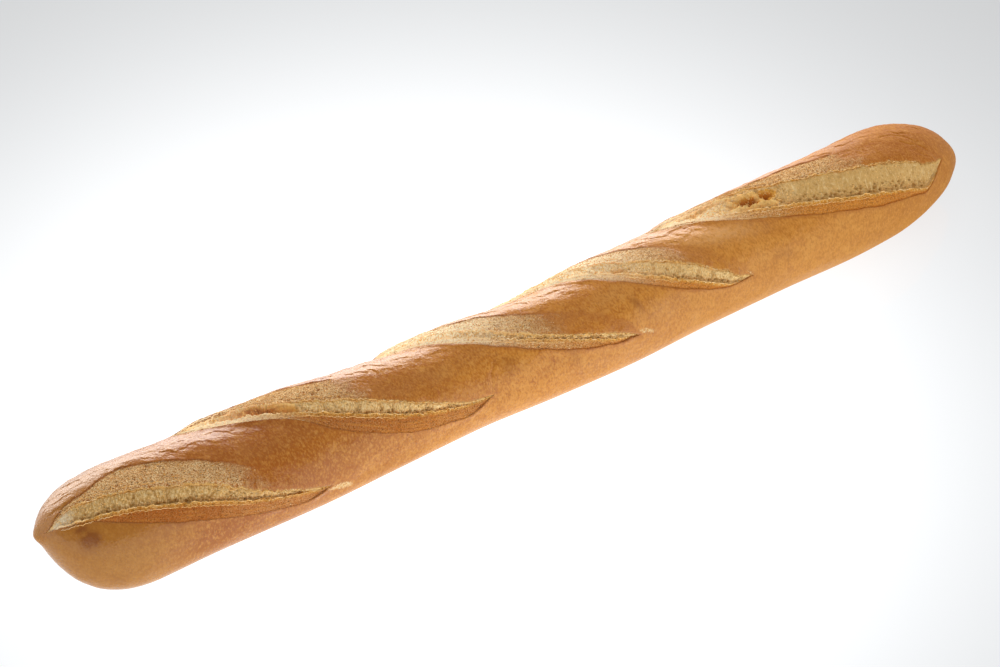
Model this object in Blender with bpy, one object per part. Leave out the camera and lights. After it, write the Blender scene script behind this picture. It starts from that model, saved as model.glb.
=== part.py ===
"""Baguette: one loaf of bread with five slanted slashes along its top.

The loaf lies along X on the plane Z = 0, with its crown up.
Origin: the middle of the loaf's box, on the surface it rests on.
The body is a round bar with blunt ends, drawn from a table of reaches at
regular stations. Each slash is a set of four lines that run slantwise over the
crown: the crust's lower edge, the lip, the torn edge and the crust's upper edge.
Between them the dough has opened, and the relief between them is computed.
"""

import math

import bmesh
import bpy
import numpy as np

MM = 0.001

# ---- Body, in millimetres ---------------------------------------------------
LENGTH = 580.0
STATION_PITCH = 50.0  # stations at the two tips and every 50 mm between
FRONT_REACH = (35.5, 31.5, 29.5, 30.0, 28.5, 27.5, 30.5, 32.5, 31.0, 31.5, 33.5, 31.0, 27.0)
BACK_REACH = (32.5, 33.5, 34.5, 32.5, 29.0, 27.0, 26.5, 28.0, 28.0, 29.5, 29.0, 31.5, 35.5)
CROWN = (57.0, 53.5, 49.5, 48.0, 49.5, 52.0, 53.0)  # height, at even stations
BELLY = 0.42  # the widest level, as a share of the height
ROUND_TOP = 2.15  # superellipse exponents of the section
ROUND_BASE = 2.7
BASE_CUT = 1.1  # thickness pressed flat where the loaf lies on the tray
LEFT_CAP = dict(length=56.0, power=2.7, tip_y=6.0, tip_z=36.0, lift=6.0)
RIGHT_CAP = dict(length=62.0, power=1.8, tip_y=-3.5, tip_z=17.0, lift=3.5)
LIFT_FROM = 90.0  # the underside starts to rise this far from the middle
NUB_HEIGHT = 2.6  # small pinched point at the left tip
NUB_RADIUS = 5.0

# ---- Slashes, in millimetres ------------------------------------------------
# start and end: (x, girth) with girth measured round the section from the crown
# line, positive towards the front. The four rows give the slash at five stations
# (a tenth, three, five, seven and nine tenths of its length): where the lip runs
# beside the straight line from start to end (positive towards the crown), and
# the widths of the torn crumb, of the upper bloom and of the lower bloom.
SLASH_STATIONS = (0.1, 0.3, 0.5, 0.7, 0.9)
SLASHES = (
    dict(start=(-288, 4), end=(-143, 47), lip=(-2.6, -2.1, -2.5, -3.6, -1.8), crumb=(10.0, 10.2, 9.9, 6.4, 2.9),
         upper=(4.0, 16.6, 13.8, 11.0, 6.0), lower=(0.6, 6.9, 8.7, 7.9, 6.4), ear=1.0, sink=0.3),
    dict(start=(-202, -23), end=(-41, 35), lip=(-2.7, -4.1, -7.5, -8.6, -5.0), crumb=(5.7, 7.9, 8.7, 7.4, 2.8),
         upper=(2.5, 13.7, 15.0, 15.0, 8.0), lower=(1.0, 2.0, 8.0, 9.3, 7.3), ear=2.6, sink=1.2),
    dict(start=(-84, -30), end=(49.5, 38), lip=(-2.0, -6.1, -7.9, -5.6, -3.1), crumb=(4.5, 6.3, 4.4, 2.7, 4.0),
         upper=(2.5, 6.8, 12.0, 11.0, 6.0), lower=(0.6, 2.4, 4.1, 4.9, 2.3), ear=2.8, sink=1.6),
    dict(start=(-16, -32), end=(127, 37), lip=(2.0, 2.5, -1.2, -4.4, -5.7), crumb=(4.0, 9.3, 9.4, 10.3, 7.0),
         upper=(3.0, 7.5, 10.8, 9.7, 6.0), lower=(0.8, 2.2, 4.1, 4.4, 1.5), ear=2.4, sink=1.4),
    dict(start=(92, -20), end=(269, 20), lip=(-3.8, -12.1, -15.8, -18.4, -20.5), crumb=(5.6, 18.3, 17.4, 16.8, 15.0),
         upper=(4.7, 5.8, 13.4, 14.1, 10.0), lower=(0.6, 4.5, 6.5, 6.2, 2.5), ear=2.2, sink=1.2),
)
LIP_RISE = 1.5  # height of the lip over the body's round
TEAR_RISE = 2.1  # height of the torn edge
GROOVE_DEPTH = 2.0  # depth of the furrow behind the lip
CRUST_STEP = 0.8  # height of the crust's edge over the bloom beside it
EAR_REACH = 17.0  # how far behind the slash the raised crust settles
SINK_REACH = 12.0

# ---- Mesh -------------------------------------------------------------------
RINGS = 320
SEGMENTS = 128
TRIANGLES = 9400


def table(x, xs, ys):
    """Smooth curve through a table of sizes, with no overshoot."""
    xs, ys = np.asarray(xs, float), np.asarray(ys, float)
    step = np.diff(xs)
    slope = np.diff(ys) / step
    tangent = np.zeros(len(xs))
    same = slope[:-1] * slope[1:] > 0
    inner = np.zeros(len(slope) - 1)
    inner[same] = 2 * slope[:-1][same] * slope[1:][same] / (slope[:-1][same] + slope[1:][same])
    tangent[1:-1] = inner
    tangent[0], tangent[-1] = slope[0], slope[-1]
    x = np.clip(x, xs[0], xs[-1])
    i = np.clip(np.searchsorted(xs, x) - 1, 0, len(step) - 1)
    t = (x - xs[i]) / step[i]
    return (
        (1 + 2 * t) * (1 - t) ** 2 * ys[i]
        + t * (1 - t) ** 2 * step[i] * tangent[i]
        + t * t * (3 - 2 * t) * ys[i + 1]
        + t * t * (t - 1) * step[i] * tangent[i + 1]
    )


def ease(t):
    t = np.clip(t, 0.0, 1.0)
    return t * t * (3 - 2 * t)


def stations(count):
    """Station positions along the loaf: the two tips, and an even pitch between."""
    half = LENGTH / 2
    if count == len(CROWN):
        return np.array([-half, *np.arange(-200.0, 201.0, 2 * STATION_PITCH), half])
    return np.array([-half, *np.arange(-250.0, 251.0, STATION_PITCH), half])


def cap(x):
    """How full the section is: 1 along the body, rounding down to 0 at the tips."""
    left = np.clip((x + LENGTH / 2) / LEFT_CAP["length"], 0, 1)
    right = np.clip((LENGTH / 2 - x) / RIGHT_CAP["length"], 0, 1)
    return np.sqrt(1 - (1 - left) ** LEFT_CAP["power"]) * np.sqrt(1 - (1 - right) ** RIGHT_CAP["power"])


def body(x, angle):
    """Points of the plain body: rows are sections at x, columns go round them."""
    front = -table(x, stations(len(FRONT_REACH)), FRONT_REACH)
    back = table(x, stations(len(BACK_REACH)), BACK_REACH)
    high = table(x, stations(len(CROWN)), CROWN) + BASE_CUT
    lift = LEFT_CAP["lift"] * np.clip((-x - LIFT_FROM) / (LENGTH / 2 - LIFT_FROM), 0, 1) ** 2
    lift = lift + RIGHT_CAP["lift"] * np.clip((x - LIFT_FROM) / (LENGTH / 2 - LIFT_FROM), 0, 1) ** 2
    full = cap(x)
    side = ease((x + 60) / 120)
    tip_y = LEFT_CAP["tip_y"] + (RIGHT_CAP["tip_y"] - LEFT_CAP["tip_y"]) * side
    tip_z = LEFT_CAP["tip_z"] + (RIGHT_CAP["tip_z"] - LEFT_CAP["tip_z"]) * side
    c, s = np.cos(angle), np.sin(angle)
    power = np.where(s >= 0, 2 / ROUND_TOP, 2 / ROUND_BASE)
    across = np.sign(c) * np.abs(c) ** power
    level = np.where(s >= 0, BELLY + (1 - BELLY) * np.abs(s) ** power, BELLY - BELLY * np.abs(s) ** power)
    y = (front + back)[:, None] / 2 + (back - front)[:, None] / 2 * across
    z = high[:, None] * level - BASE_CUT
    y = tip_y[:, None] + (y - tip_y[:, None]) * full[:, None]
    z = tip_z[:, None] + (z - tip_z[:, None]) * full[:, None] + lift[:, None]
    return np.stack([np.repeat(x[:, None], len(angle), 1), y, z], -1)


def ring_positions(count):
    """Sections spread evenly over the skin, so that the caps get their share."""
    fine = np.linspace(-LENGTH / 2, LENGTH / 2, 40001)
    radius = 28.0 * cap(fine)
    run = np.concatenate([[0], np.cumsum(np.hypot(np.diff(fine), np.diff(radius)))])
    return np.interp(np.linspace(0, run[-1], count), run, fine)


def outward(points):
    """Unit normals of the skin."""
    along = np.gradient(points, axis=0)
    round_ = np.roll(points, -1, 1) - np.roll(points, 1, 1)
    normal = np.cross(along, round_)
    middle = points.mean(1, keepdims=True)
    if ((points - middle) * normal).sum() < 0:
        normal = -normal
    normal[0], normal[-1] = (-1, 0, 0), (1, 0, 0)
    return normal / np.maximum(np.linalg.norm(normal, axis=-1, keepdims=True), 1e-9)


def girth(points, crown_column):
    """Distance round each section from the crown line, positive to the front."""
    count = points.shape[1]
    turned = np.roll(points, -crown_column, 1)
    step = np.linalg.norm(np.roll(turned, -1, 1) - turned, axis=-1)
    run = np.concatenate([np.zeros((len(points), 1)), np.cumsum(step, 1)[:, :-1]], 1)
    whole = step.sum(1, keepdims=True)
    run = np.where(run > whole / 2, run - whole, run)
    return np.roll(run, crown_column, 1)


def slash_relief(x, g, slash):
    """Height that one slash adds to the body at (x, girth)."""
    (x0, g0), (x1, g1) = slash["start"], slash["end"]
    length = math.hypot(x1 - x0, g1 - g0)
    ca, sa = (x1 - x0) / length, (g1 - g0) / length
    along = ((x - x0) * ca + (g - g0) * sa) / length
    across = (x - x0) * sa - (g - g0) * ca
    knots = (0.0, *SLASH_STATIONS, 1.0)

    def row(name):
        return table(along, knots, (0.0, *slash[name], 0.0))

    lip = row("lip")
    tear = lip + row("crumb")
    upper = tear + row("upper")
    lower = lip - row("lower")
    open_ = np.minimum(1.0, row("crumb") / 5.0)
    inside = ease((along + 0.03) / 0.08) * ease((1.03 - along) / 0.07)
    ear = slash["ear"] * ease((along + 0.06) / 0.1) * (1 - 0.75 * ease((along - 0.1) / 0.75))
    sink = slash["sink"] * ease((along + 0.06) / 0.1) * (1 - ease((along - 0.05) / 0.45))

    behind = np.clip(across - upper, 0, None)
    before = np.clip(lower - across, 0, None)
    crumb_width = np.maximum(tear - lip, 0.5)
    t = np.clip((across - lip) / crumb_width, 0, 1)
    face = -GROOVE_DEPTH * open_ + (TEAR_RISE + GROOVE_DEPTH) * open_ * np.sin(0.5 * np.pi * ease(t / 0.96))
    face = np.where(t < 0.14, LIP_RISE * open_ + (-GROOVE_DEPTH - LIP_RISE) * open_ * ease(t / 0.14), face)
    t = np.clip((across - tear) / np.maximum(upper - tear, 0.5), 0, 1)
    ledge = (CRUST_STEP + 0.4) * (1 - 0.8 * ease((along - 0.45) / 0.4)) + ear
    top = TEAR_RISE * open_ * (1 - t) + (ledge - CRUST_STEP) * ease(t)
    t = np.clip((across - lower) / np.maximum(lip - lower, 0.5), 0, 1)
    front = (0.35 - sink) * (1 - t) + LIP_RISE * open_ * t**1.4
    crust_behind = ledge * np.exp(-((behind / EAR_REACH) ** 1.5))
    crust_before = (CRUST_STEP * 0.9 - sink) * np.exp(-((before / SINK_REACH) ** 1.5))
    height = np.where(across >= upper, crust_behind, top)
    height = np.where(across < tear, face, height)
    height = np.where(across < lip, front, height)
    height = np.where(across < lower, crust_before, height)
    return height * inside


def loaf_points():
    angle = np.linspace(0, 2 * np.pi, SEGMENTS, endpoint=False)
    x = ring_positions(RINGS)
    plain = body(x, angle)
    normal = outward(plain)
    g = girth(plain, SEGMENTS // 4)
    xs = plain[..., 0]
    height = sum(slash_relief(xs, g, slash) for slash in SLASHES)
    # gentle hand-shaped unevenness, none of it on the underside
    shaped = 0.45 * np.sin(xs / 31.0 + g / 23.0) + 0.35 * np.sin(xs / 17.0 - g / 14.0 + 1.3)
    crown_side = ease((plain[..., 2] - 6.0) / 14.0)
    tips = ease((LENGTH / 2 - np.abs(xs)) / 8.0)
    points = plain + normal * ((height + shaped) * crown_side * tips)[..., None]
    # the pinched point at the left tip
    off = np.hypot(points[..., 1] - LEFT_CAP["tip_y"], points[..., 2] - LEFT_CAP["tip_z"] - LEFT_CAP["lift"])
    points[..., 0] -= np.where(xs < -LENGTH / 2 + 30, NUB_HEIGHT * np.exp(-((off / NUB_RADIUS) ** 2)), 0.0)
    # scaled back so that the nub's point stays at the stated length
    low, high = points[..., 0].min(), points[..., 0].max()
    points[..., 0] = -LENGTH / 2 + (points[..., 0] - low) * LENGTH / (high - low)
    points[..., 1] -= (points[..., 1].min() + points[..., 1].max()) / 2
    points[..., 2] = np.maximum(points[..., 2], 0.0)
    return points


def clear_scene():
    for obj in list(bpy.data.objects):
        bpy.data.objects.remove(obj, do_unlink=True)


def crust_material():
    material = bpy.data.materials.new("crust")
    material.use_nodes = True
    shader = material.node_tree.nodes["Principled BSDF"]
    shader.inputs["Base Color"].default_value = (0.60, 0.31, 0.105, 1.0)
    shader.inputs["Roughness"].default_value = 0.48
    shader.inputs["Metallic"].default_value = 0.0
    return material


def loaf():
    """A sphere of rings whose points are laid on the loaf's skin, then thinned
    out where the skin is plain."""
    points = loaf_points() * MM
    bm = bmesh.new()
    bmesh.ops.create_uvsphere(bm, u_segments=SEGMENTS, v_segments=RINGS - 1, radius=1.0)
    for vert in bm.verts:
        ring = round((math.acos(max(-1.0, min(1.0, -vert.co.z)))) / math.pi * (RINGS - 1))
        column = round(math.atan2(vert.co.y, vert.co.x) / (2 * math.pi) * SEGMENTS) % SEGMENTS
        if ring in (0, RINGS - 1):
            vert.co = points[ring].mean(0)
        else:
            vert.co = points[ring, column]
    bmesh.ops.triangulate(bm, faces=bm.faces[:])
    bmesh.ops.recalc_face_normals(bm, faces=bm.faces[:])
    if bm.calc_volume(signed=True) < 0:
        bmesh.ops.reverse_faces(bm, faces=bm.faces[:])
    mesh = bpy.data.meshes.new("loaf")
    bm.to_mesh(mesh)
    bm.free()
    mesh.shade_smooth()
    mesh.materials.append(crust_material())
    obj = bpy.data.objects.new("loaf", mesh)
    bpy.context.scene.collection.objects.link(obj)
    thin = obj.modifiers.new("thin_out", "DECIMATE")
    thin.decimate_type = "COLLAPSE"
    thin.ratio = TRIANGLES / len(mesh.polygons)
    return obj


clear_scene()
loaf()
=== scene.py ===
import math

import bpy
import numpy as np
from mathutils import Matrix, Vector


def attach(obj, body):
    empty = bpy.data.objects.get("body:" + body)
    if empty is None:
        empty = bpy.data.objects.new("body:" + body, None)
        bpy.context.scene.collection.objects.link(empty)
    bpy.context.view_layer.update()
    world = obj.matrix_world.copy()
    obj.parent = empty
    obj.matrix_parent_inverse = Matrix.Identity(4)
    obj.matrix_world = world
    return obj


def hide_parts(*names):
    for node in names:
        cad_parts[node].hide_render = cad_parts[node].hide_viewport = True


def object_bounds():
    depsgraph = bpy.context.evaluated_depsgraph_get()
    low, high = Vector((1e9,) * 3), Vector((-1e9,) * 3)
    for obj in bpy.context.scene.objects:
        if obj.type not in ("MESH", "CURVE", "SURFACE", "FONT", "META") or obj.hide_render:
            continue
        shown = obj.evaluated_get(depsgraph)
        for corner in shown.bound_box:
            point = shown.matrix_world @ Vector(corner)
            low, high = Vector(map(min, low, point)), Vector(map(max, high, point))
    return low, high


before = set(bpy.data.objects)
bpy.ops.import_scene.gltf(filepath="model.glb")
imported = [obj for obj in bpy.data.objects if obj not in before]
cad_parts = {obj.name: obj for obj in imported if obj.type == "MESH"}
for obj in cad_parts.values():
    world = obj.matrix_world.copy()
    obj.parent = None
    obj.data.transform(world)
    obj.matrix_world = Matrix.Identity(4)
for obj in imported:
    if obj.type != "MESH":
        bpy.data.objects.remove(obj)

CAD_LOW, CAD_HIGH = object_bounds()
MM = 0.001

# ============================================================================
# The loaf's form: the same body and slashes as the CAD solid, in millimetres,
# with the fine relief of crust, bloom and torn crumb on top.
# ============================================================================
LENGTH = 580.0
FRONT_REACH = (35.5, 31.5, 29.5, 30.0, 28.5, 27.5, 30.5, 32.5, 31.0, 31.5, 33.5, 31.0, 27.0)
BACK_REACH = (32.5, 33.5, 34.5, 32.5, 29.0, 27.0, 26.5, 28.0, 28.0, 29.5, 29.0, 31.5, 35.5)
CROWN = (57.0, 53.5, 49.5, 48.0, 49.5, 52.0, 53.0)
BELLY, ROUND_TOP, ROUND_BASE, BASE_CUT = 0.42, 2.15, 2.7, 1.1
LEFT_CAP = dict(length=56.0, power=2.7, tip_y=6.0, tip_z=36.0, lift=6.0)
RIGHT_CAP = dict(length=62.0, power=1.8, tip_y=-3.5, tip_z=17.0, lift=3.5)
LIFT_FROM = 90.0
NUB_HEIGHT, NUB_RADIUS = 2.6, 5.0

SLASH_STATIONS = (0.1, 0.3, 0.5, 0.7, 0.9)
# fade: where along the slash the upper bloom turns back into brown crust.
# porous: how open and flecked the crumb is at each station.
# rim: how far the front crust's edge stands up at each station.
# bands: how strongly the lower bloom lies in strips along the slash.
# tail: pale flecked patches, as below. line: how dark the front crust's edge
# is, partly toasting and partly painted shade. tone: how pale the crumb is. smooth: how even its grain is.
# hooked: how far the crust laps over the slash's front end.
# arch: (run, half length, size) where the torn edge behind the crumb bows back.
# lit: how far along, from its start, the thin crumb is painted cream and made to
# glow, a painted glow for light through it, and how much of that the bloom behind it has.
# caves: (run, across, half length, half width, depth) of hollows torn into the crumb.
# ridges: (height, half width, ((run, across), ...)) of strands left standing.
SLASHES = (
    dict(start=(-288, 4), end=(-143, 47), lip=(-2.6, -2.1, -2.5, -3.6, -1.8), crumb=(10.0, 10.2, 9.9, 6.4, 2.9),
         upper=(4.0, 16.6, 13.8, 11.0, 6.0), lower=(0.6, 6.9, 8.7, 7.9, 6.4), ear=1.0, sink=0.3,
         fade=(0.66, 0.20), porous=(0.25, 0.15, 0.2, 0.45, 0.6), rim=(0.1, 0.25, 0.2, 0.1, 0.3), bands=0.8,
         tail=((160.0, -1.0, 7.0, 2.4, 1.0), (152.0, -2.0, 4.0, 1.2, 0.8)), line=0.22, tone=0.0, smooth=0.1, hooked=1.0, arch=(), lit=(0.12, 0.0),
         caves=(), ridges=()),
    dict(start=(-202, -23), end=(-41, 35), lip=(-2.7, -4.1, -7.5, -8.6, -5.0), crumb=(5.7, 7.9, 8.7, 7.4, 2.8),
         upper=(2.5, 13.7, 15.0, 15.0, 8.0), lower=(1.0, 2.0, 8.0, 9.3, 7.3), ear=2.6, sink=1.2,
         fade=(0.52, 0.16), porous=(0.7, 0.45, 0.3, 0.25, 0.4), rim=(0.8, 0.8, 0.2, 0.1, 0.3), bands=1.0,
         tail=(), line=0.30, tone=1.0, smooth=0.0, hooked=0.8, arch=((34.0, 13.0, 4.0),), lit=(0.44, 0.25),
         caves=((26.0, 3.4, 11.0, 4.2, 2.6), (44.5, 2.6, 8.0, 4.4, 4.6), (57.0, -1.6, 6.0, 2.4, 1.8)),
         ridges=((1.5, 0.7, ((14, 3.2), (22, 5.6), (31, 8.4), (41, 8.0), (51, 5.0), (62, 1.4))), (1.2, 0.7, ((16, -0.6), (30, -2.2), (44, -4.6), (58, -6.2))), (0.9, 0.5, ((19, 4.4), (24, 2.0), (28, -1.6))), (0.9, 0.5, ((34, 7.6), (37, 3.0), (38, -2.8))))),
    dict(start=(-84, -30), end=(49.5, 38), lip=(-2.0, -6.1, -7.9, -5.6, -3.1), crumb=(4.5, 6.3, 4.4, 2.7, 4.0),
         upper=(2.5, 6.8, 12.0, 11.0, 6.0), lower=(0.6, 2.4, 4.1, 4.9, 2.3), ear=2.8, sink=1.6,
         fade=(0.60, 0.24), porous=(1.0, 1.0, 1.0, 0.85, 0.45), rim=(0.7, 0.7, 0.5, 0.35, 0.4), bands=0.25,
         tail=((154.0, 2.6, 7.0, 1.6, 0.9),), line=0.75, tone=0.9, smooth=0.0, hooked=1.0, arch=(), lit=(0.66, 1.15),
         caves=((20.0, 2.0, 7.0, 1.8, 1.8), (52.0, 7.2, 6.0, 0.9, 1.6)), ridges=((1.2, 0.7, ((10, 1.0), (18, 1.6), (27, 0.0), (36, -1.2))),)),
    dict(start=(-16, -32), end=(127, 37), lip=(2.0, 2.5, -1.2, -4.4, -5.7), crumb=(4.0, 9.3, 9.4, 10.3, 7.0),
         upper=(3.0, 7.5, 10.8, 9.7, 6.0), lower=(0.8, 2.2, 4.1, 4.4, 1.5), ear=2.4, sink=1.4,
         fade=(0.66, 0.18), porous=(1.0, 0.9, 0.65, 0.2, 0.15), rim=(0.8, 0.8, 0.5, 0.35, 0.3), bands=0.4,
         tail=((153.5, 1.0, 5.5, 1.8, 0.85),), line=0.50, tone=0.9, smooth=0.2, hooked=0.8, arch=(), lit=(0.74, 1.6),
         caves=((30.0, 6.0, 8.0, 2.0, 1.6), (78.0, 1.5, 5.0, 2.0, 1.2)), ridges=((1.1, 0.7, ((18, 3.0), (30, 4.6), (40, 5.4), (52, 3.2))),)),
    dict(start=(92, -20), end=(269, 20), lip=(-3.8, -12.1, -15.8, -18.4, -20.5), crumb=(5.6, 18.3, 17.4, 16.8, 15.0),
         upper=(4.7, 5.8, 13.4, 14.1, 10.0), lower=(0.6, 4.5, 6.5, 6.2, 2.5), ear=2.2, sink=1.2,
         fade=(0.64, 0.14), porous=(1.0, 1.0, 0.12, 0.08, 0.2), rim=(0.6, 0.6, 0.35, 0.25, 0.4), bands=1.0,
         tail=(), line=0.65, tone=0.3, smooth=0.8, hooked=0.3, arch=((56.0, 10.0, 2.0),), lit=(0.36, 0.6),
         caves=((25.0, 2.0, 8.0, 2.4, 2.6), (36.0, 3.6, 5.0, 1.6, 1.6), (56.0, -3.4, 7.5, 2.6, 4.6), (67.5, -2.6, 4.5, 2.6, 3.2), (44.0, -11.0, 6.0, 1.2, 1.6)),
         ridges=((2.2, 1.5, ((30.0, -6.2), (38.6, -7.2), (45.5, -8.4), (51.7, -7.4), (57.5, -8.6), (64.4, -8.2), (70.5, -9.4))),
                 (1.8, 1.2, ((46.0, 0.5), (49.0, -3.0), (51.0, -7.0))), (1.5, 1.3, ((62.0, 0.6), (63.0, -3.0), (65.0, -7.5))),
                 (1.3, 1.0, ((40.0, 5.2), (46.0, 4.2), (53.0, 1.6), (60.0, 1.2))), (1.2, 0.8, ((28.0, -3.2), (37.0, -2.6), (45.0, -4.0))))),
)
LIP_RISE, TEAR_RISE, GROOVE_DEPTH, CRUST_STEP = 1.6, 2.2, 2.0, 0.42
EAR_REACH, SINK_REACH = 17.0, 12.0

RING_PITCH = 0.50  # spacing of the fine mesh along the loaf
COLUMN_PITCH = 0.50  # and round it, over the slashed part
MOST_TRIANGLES = 196000


def table(x, xs, ys):
    xs, ys = np.asarray(xs, float), np.asarray(ys, float)
    step = np.diff(xs)
    slope = np.diff(ys) / step
    tangent = np.zeros(len(xs))
    same = slope[:-1] * slope[1:] > 0
    inner = np.zeros(len(slope) - 1)
    inner[same] = 2 * slope[:-1][same] * slope[1:][same] / (slope[:-1][same] + slope[1:][same])
    tangent[1:-1] = inner
    tangent[0], tangent[-1] = slope[0], slope[-1]
    x = np.clip(x, xs[0], xs[-1])
    i = np.clip(np.searchsorted(xs, x) - 1, 0, len(step) - 1)
    t = (x - xs[i]) / step[i]
    return (
        (1 + 2 * t) * (1 - t) ** 2 * ys[i]
        + t * (1 - t) ** 2 * step[i] * tangent[i]
        + t * t * (3 - 2 * t) * ys[i + 1]
        + t * t * (t - 1) * step[i] * tangent[i + 1]
    )


def ease(t):
    t = np.clip(t, 0.0, 1.0)
    return t * t * (3 - 2 * t)


def mix(a, b, t):
    return a + (b - a) * t


# ---- deterministic noise ----------------------------------------------------
def _hash(ix, iy, iz, seed):
    h = (ix * 374761393 + iy * 668265263 + iz * 1440662683 + seed * 1274126177) & 0xFFFFFFFF
    h = ((h ^ (h >> 13)) * 1274126177) & 0xFFFFFFFF
    h = ((h ^ (h >> 15)) * 2246822519) & 0xFFFFFFFF
    return h ^ (h >> 16)


def noise(x, y=0.0, z=0.0, seed=0):
    """Gradient noise, about -1 to 1."""
    x, y, z = np.broadcast_arrays(np.asarray(x, float), np.asarray(y, float), np.asarray(z, float))
    ix, iy, iz = (np.floor(v).astype(np.int64) for v in (x, y, z))
    fx, fy, fz = x - ix, y - iy, z - iz
    ux, uy, uz = (f * f * f * (f * (f * 6 - 15) + 10) for f in (fx, fy, fz))
    total = np.zeros(x.shape)
    for dx in (0, 1):
        for dy in (0, 1):
            for dz in (0, 1):
                h = _hash(ix + dx, iy + dy, iz + dz, seed)
                gx = (h & 1023) / 511.5 - 1
                gy = ((h >> 10) & 1023) / 511.5 - 1
                gz = ((h >> 20) & 1023) / 511.5 - 1
                weight = (ux if dx else 1 - ux) * (uy if dy else 1 - uy) * (uz if dz else 1 - uz)
                total += weight * (gx * (fx - dx) + gy * (fy - dy) + gz * (fz - dz))
    return total * 1.5


def octaves(x, y, z, count, seed=0, rough=0.5):
    total, size = 0.0, 1.0
    for k in range(count):
        total = total + size * noise(x * 2**k, y * 2**k, z * 2**k, seed + 17 * k)
        size *= rough
    return total


def cells(x, y, seed=0):
    """Distances to the nearest and second nearest of one random point per unit
    cell, the nearest point's own random number, and how far y is past it."""
    x, y = np.broadcast_arrays(np.asarray(x, float), np.asarray(y, float))
    ix, iy = np.floor(x).astype(np.int64), np.floor(y).astype(np.int64)
    best, second, pick, past = np.full(x.shape, 9.0), np.full(x.shape, 9.0), np.zeros(x.shape), np.zeros(x.shape)
    for dx in (-1, 0, 1):
        for dy in (-1, 0, 1):
            h = _hash(ix + dx, iy + dy, 0 * ix, seed)
            px, py = ix + dx + (h & 1023) / 1023, iy + dy + ((h >> 10) & 1023) / 1023
            d = np.hypot(x - px, y - py)
            near = d < best
            second = np.where(near, best, np.minimum(second, d))
            best = np.where(near, d, best)
            pick = np.where(near, ((h >> 20) & 1023) / 1023, pick)
            past = np.where(near, y - py, past)
    return best, second, pick, past


def bumps_at(run, across, spots):
    """Sum of soft-edged round patches, each (run, across, half length, half width, size)."""
    total = np.zeros_like(run)
    for at_run, at_across, half_run, half_across, size in spots:
        d = ((run - at_run) / half_run) ** 2 + ((across - at_across) / half_across) ** 2
        total = total + size * np.exp(-(d**1.6))
    return total


def strands_at(run, across, strands):
    """Height of the tallest of the strands, each (height, half width, points)."""
    total = np.zeros_like(run)
    for size, half, places in strands:
        nearest = np.full(run.shape, 1e9)
        for (ax, ay), (bx, by) in zip(places, places[1:]):
            t = np.clip(((run - ax) * (bx - ax) + (across - ay) * (by - ay)) / ((bx - ax) ** 2 + (by - ay) ** 2), 0, 1)
            nearest = np.minimum(nearest, np.hypot(run - ax - t * (bx - ax), across - ay - t * (by - ay)))
        (ax, _), (bx, _) = places[0], places[-1]
        total = np.maximum(total, size * np.exp(-((nearest / half) ** 2)))
    return total


# ---- the plain body ---------------------------------------------------------
def stations(count):
    half = LENGTH / 2
    if count == len(CROWN):
        return np.array([-half, -200.0, -100.0, 0.0, 100.0, 200.0, half])
    return np.array([-half, *np.arange(-250.0, 251.0, 50.0), half])


def cap(x):
    left = np.clip((x + LENGTH / 2) / LEFT_CAP["length"], 0, 1)
    right = np.clip((LENGTH / 2 - x) / RIGHT_CAP["length"], 0, 1)
    return np.sqrt(1 - (1 - left) ** LEFT_CAP["power"]) * np.sqrt(1 - (1 - right) ** RIGHT_CAP["power"])


def body(x, angle):
    front = -table(x, stations(13), FRONT_REACH)
    back = table(x, stations(13), BACK_REACH)
    high = table(x, stations(7), CROWN) + BASE_CUT
    lift = LEFT_CAP["lift"] * np.clip((-x - LIFT_FROM) / (LENGTH / 2 - LIFT_FROM), 0, 1) ** 2
    lift = lift + RIGHT_CAP["lift"] * np.clip((x - LIFT_FROM) / (LENGTH / 2 - LIFT_FROM), 0, 1) ** 2
    full = cap(x)
    side = ease((x + 60) / 120)
    tip_y = mix(LEFT_CAP["tip_y"], RIGHT_CAP["tip_y"], side)
    tip_z = mix(LEFT_CAP["tip_z"], RIGHT_CAP["tip_z"], side)
    c, s = np.cos(angle), np.sin(angle)
    power = np.where(s >= 0, 2 / ROUND_TOP, 2 / ROUND_BASE)
    across = np.sign(c) * np.abs(c) ** power
    level = np.where(s >= 0, BELLY + (1 - BELLY) * np.abs(s) ** power, BELLY - BELLY * np.abs(s) ** power)
    y = (front + back)[:, None] / 2 + (back - front)[:, None] / 2 * across
    z = high[:, None] * level - BASE_CUT
    y = tip_y[:, None] + (y - tip_y[:, None]) * full[:, None]
    z = tip_z[:, None] + (z - tip_z[:, None]) * full[:, None] + lift[:, None]
    return np.stack([np.repeat(x[:, None], len(angle), 1), y, z], -1)


def ring_positions():
    fine = np.linspace(-LENGTH / 2, LENGTH / 2, 40001)
    radius = 28.0 * cap(fine)
    run = np.concatenate([[0], np.cumsum(np.hypot(np.diff(fine), np.diff(radius)))])
    count = int(run[-1] / RING_PITCH)
    return np.interp(np.linspace(0, run[-1], count), run, fine)


def column_angles():
    """Angles round the section: close together over the slashes, wider apart
    on the back and the underside. The first is the crown."""
    fine = np.linspace(0.5 * np.pi, 2.5 * np.pi, 7201)
    middle = body(np.array([0.0]), fine)[0]
    step = np.linalg.norm(np.diff(middle, axis=0), axis=-1)
    run = np.concatenate([[0], np.cumsum(step)])
    whole = run[-1]
    centre = (run[1:] + run[:-1]) / 2
    signed = np.where(centre > whole / 2, centre - whole, centre)
    inside = ease((signed + 52) / 14) * ease((72 - signed) / 14)
    density = mix(1 / 1.7, 1 / COLUMN_PITCH, inside)
    share = np.concatenate([[0], np.cumsum(density * step)])
    count = int(share[-1])
    wanted = np.linspace(0, share[-1], count, endpoint=False)
    return np.interp(wanted, share, fine)


def unit(v):
    return v / np.maximum(np.linalg.norm(v, axis=-1, keepdims=True), 1e-9)


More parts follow.
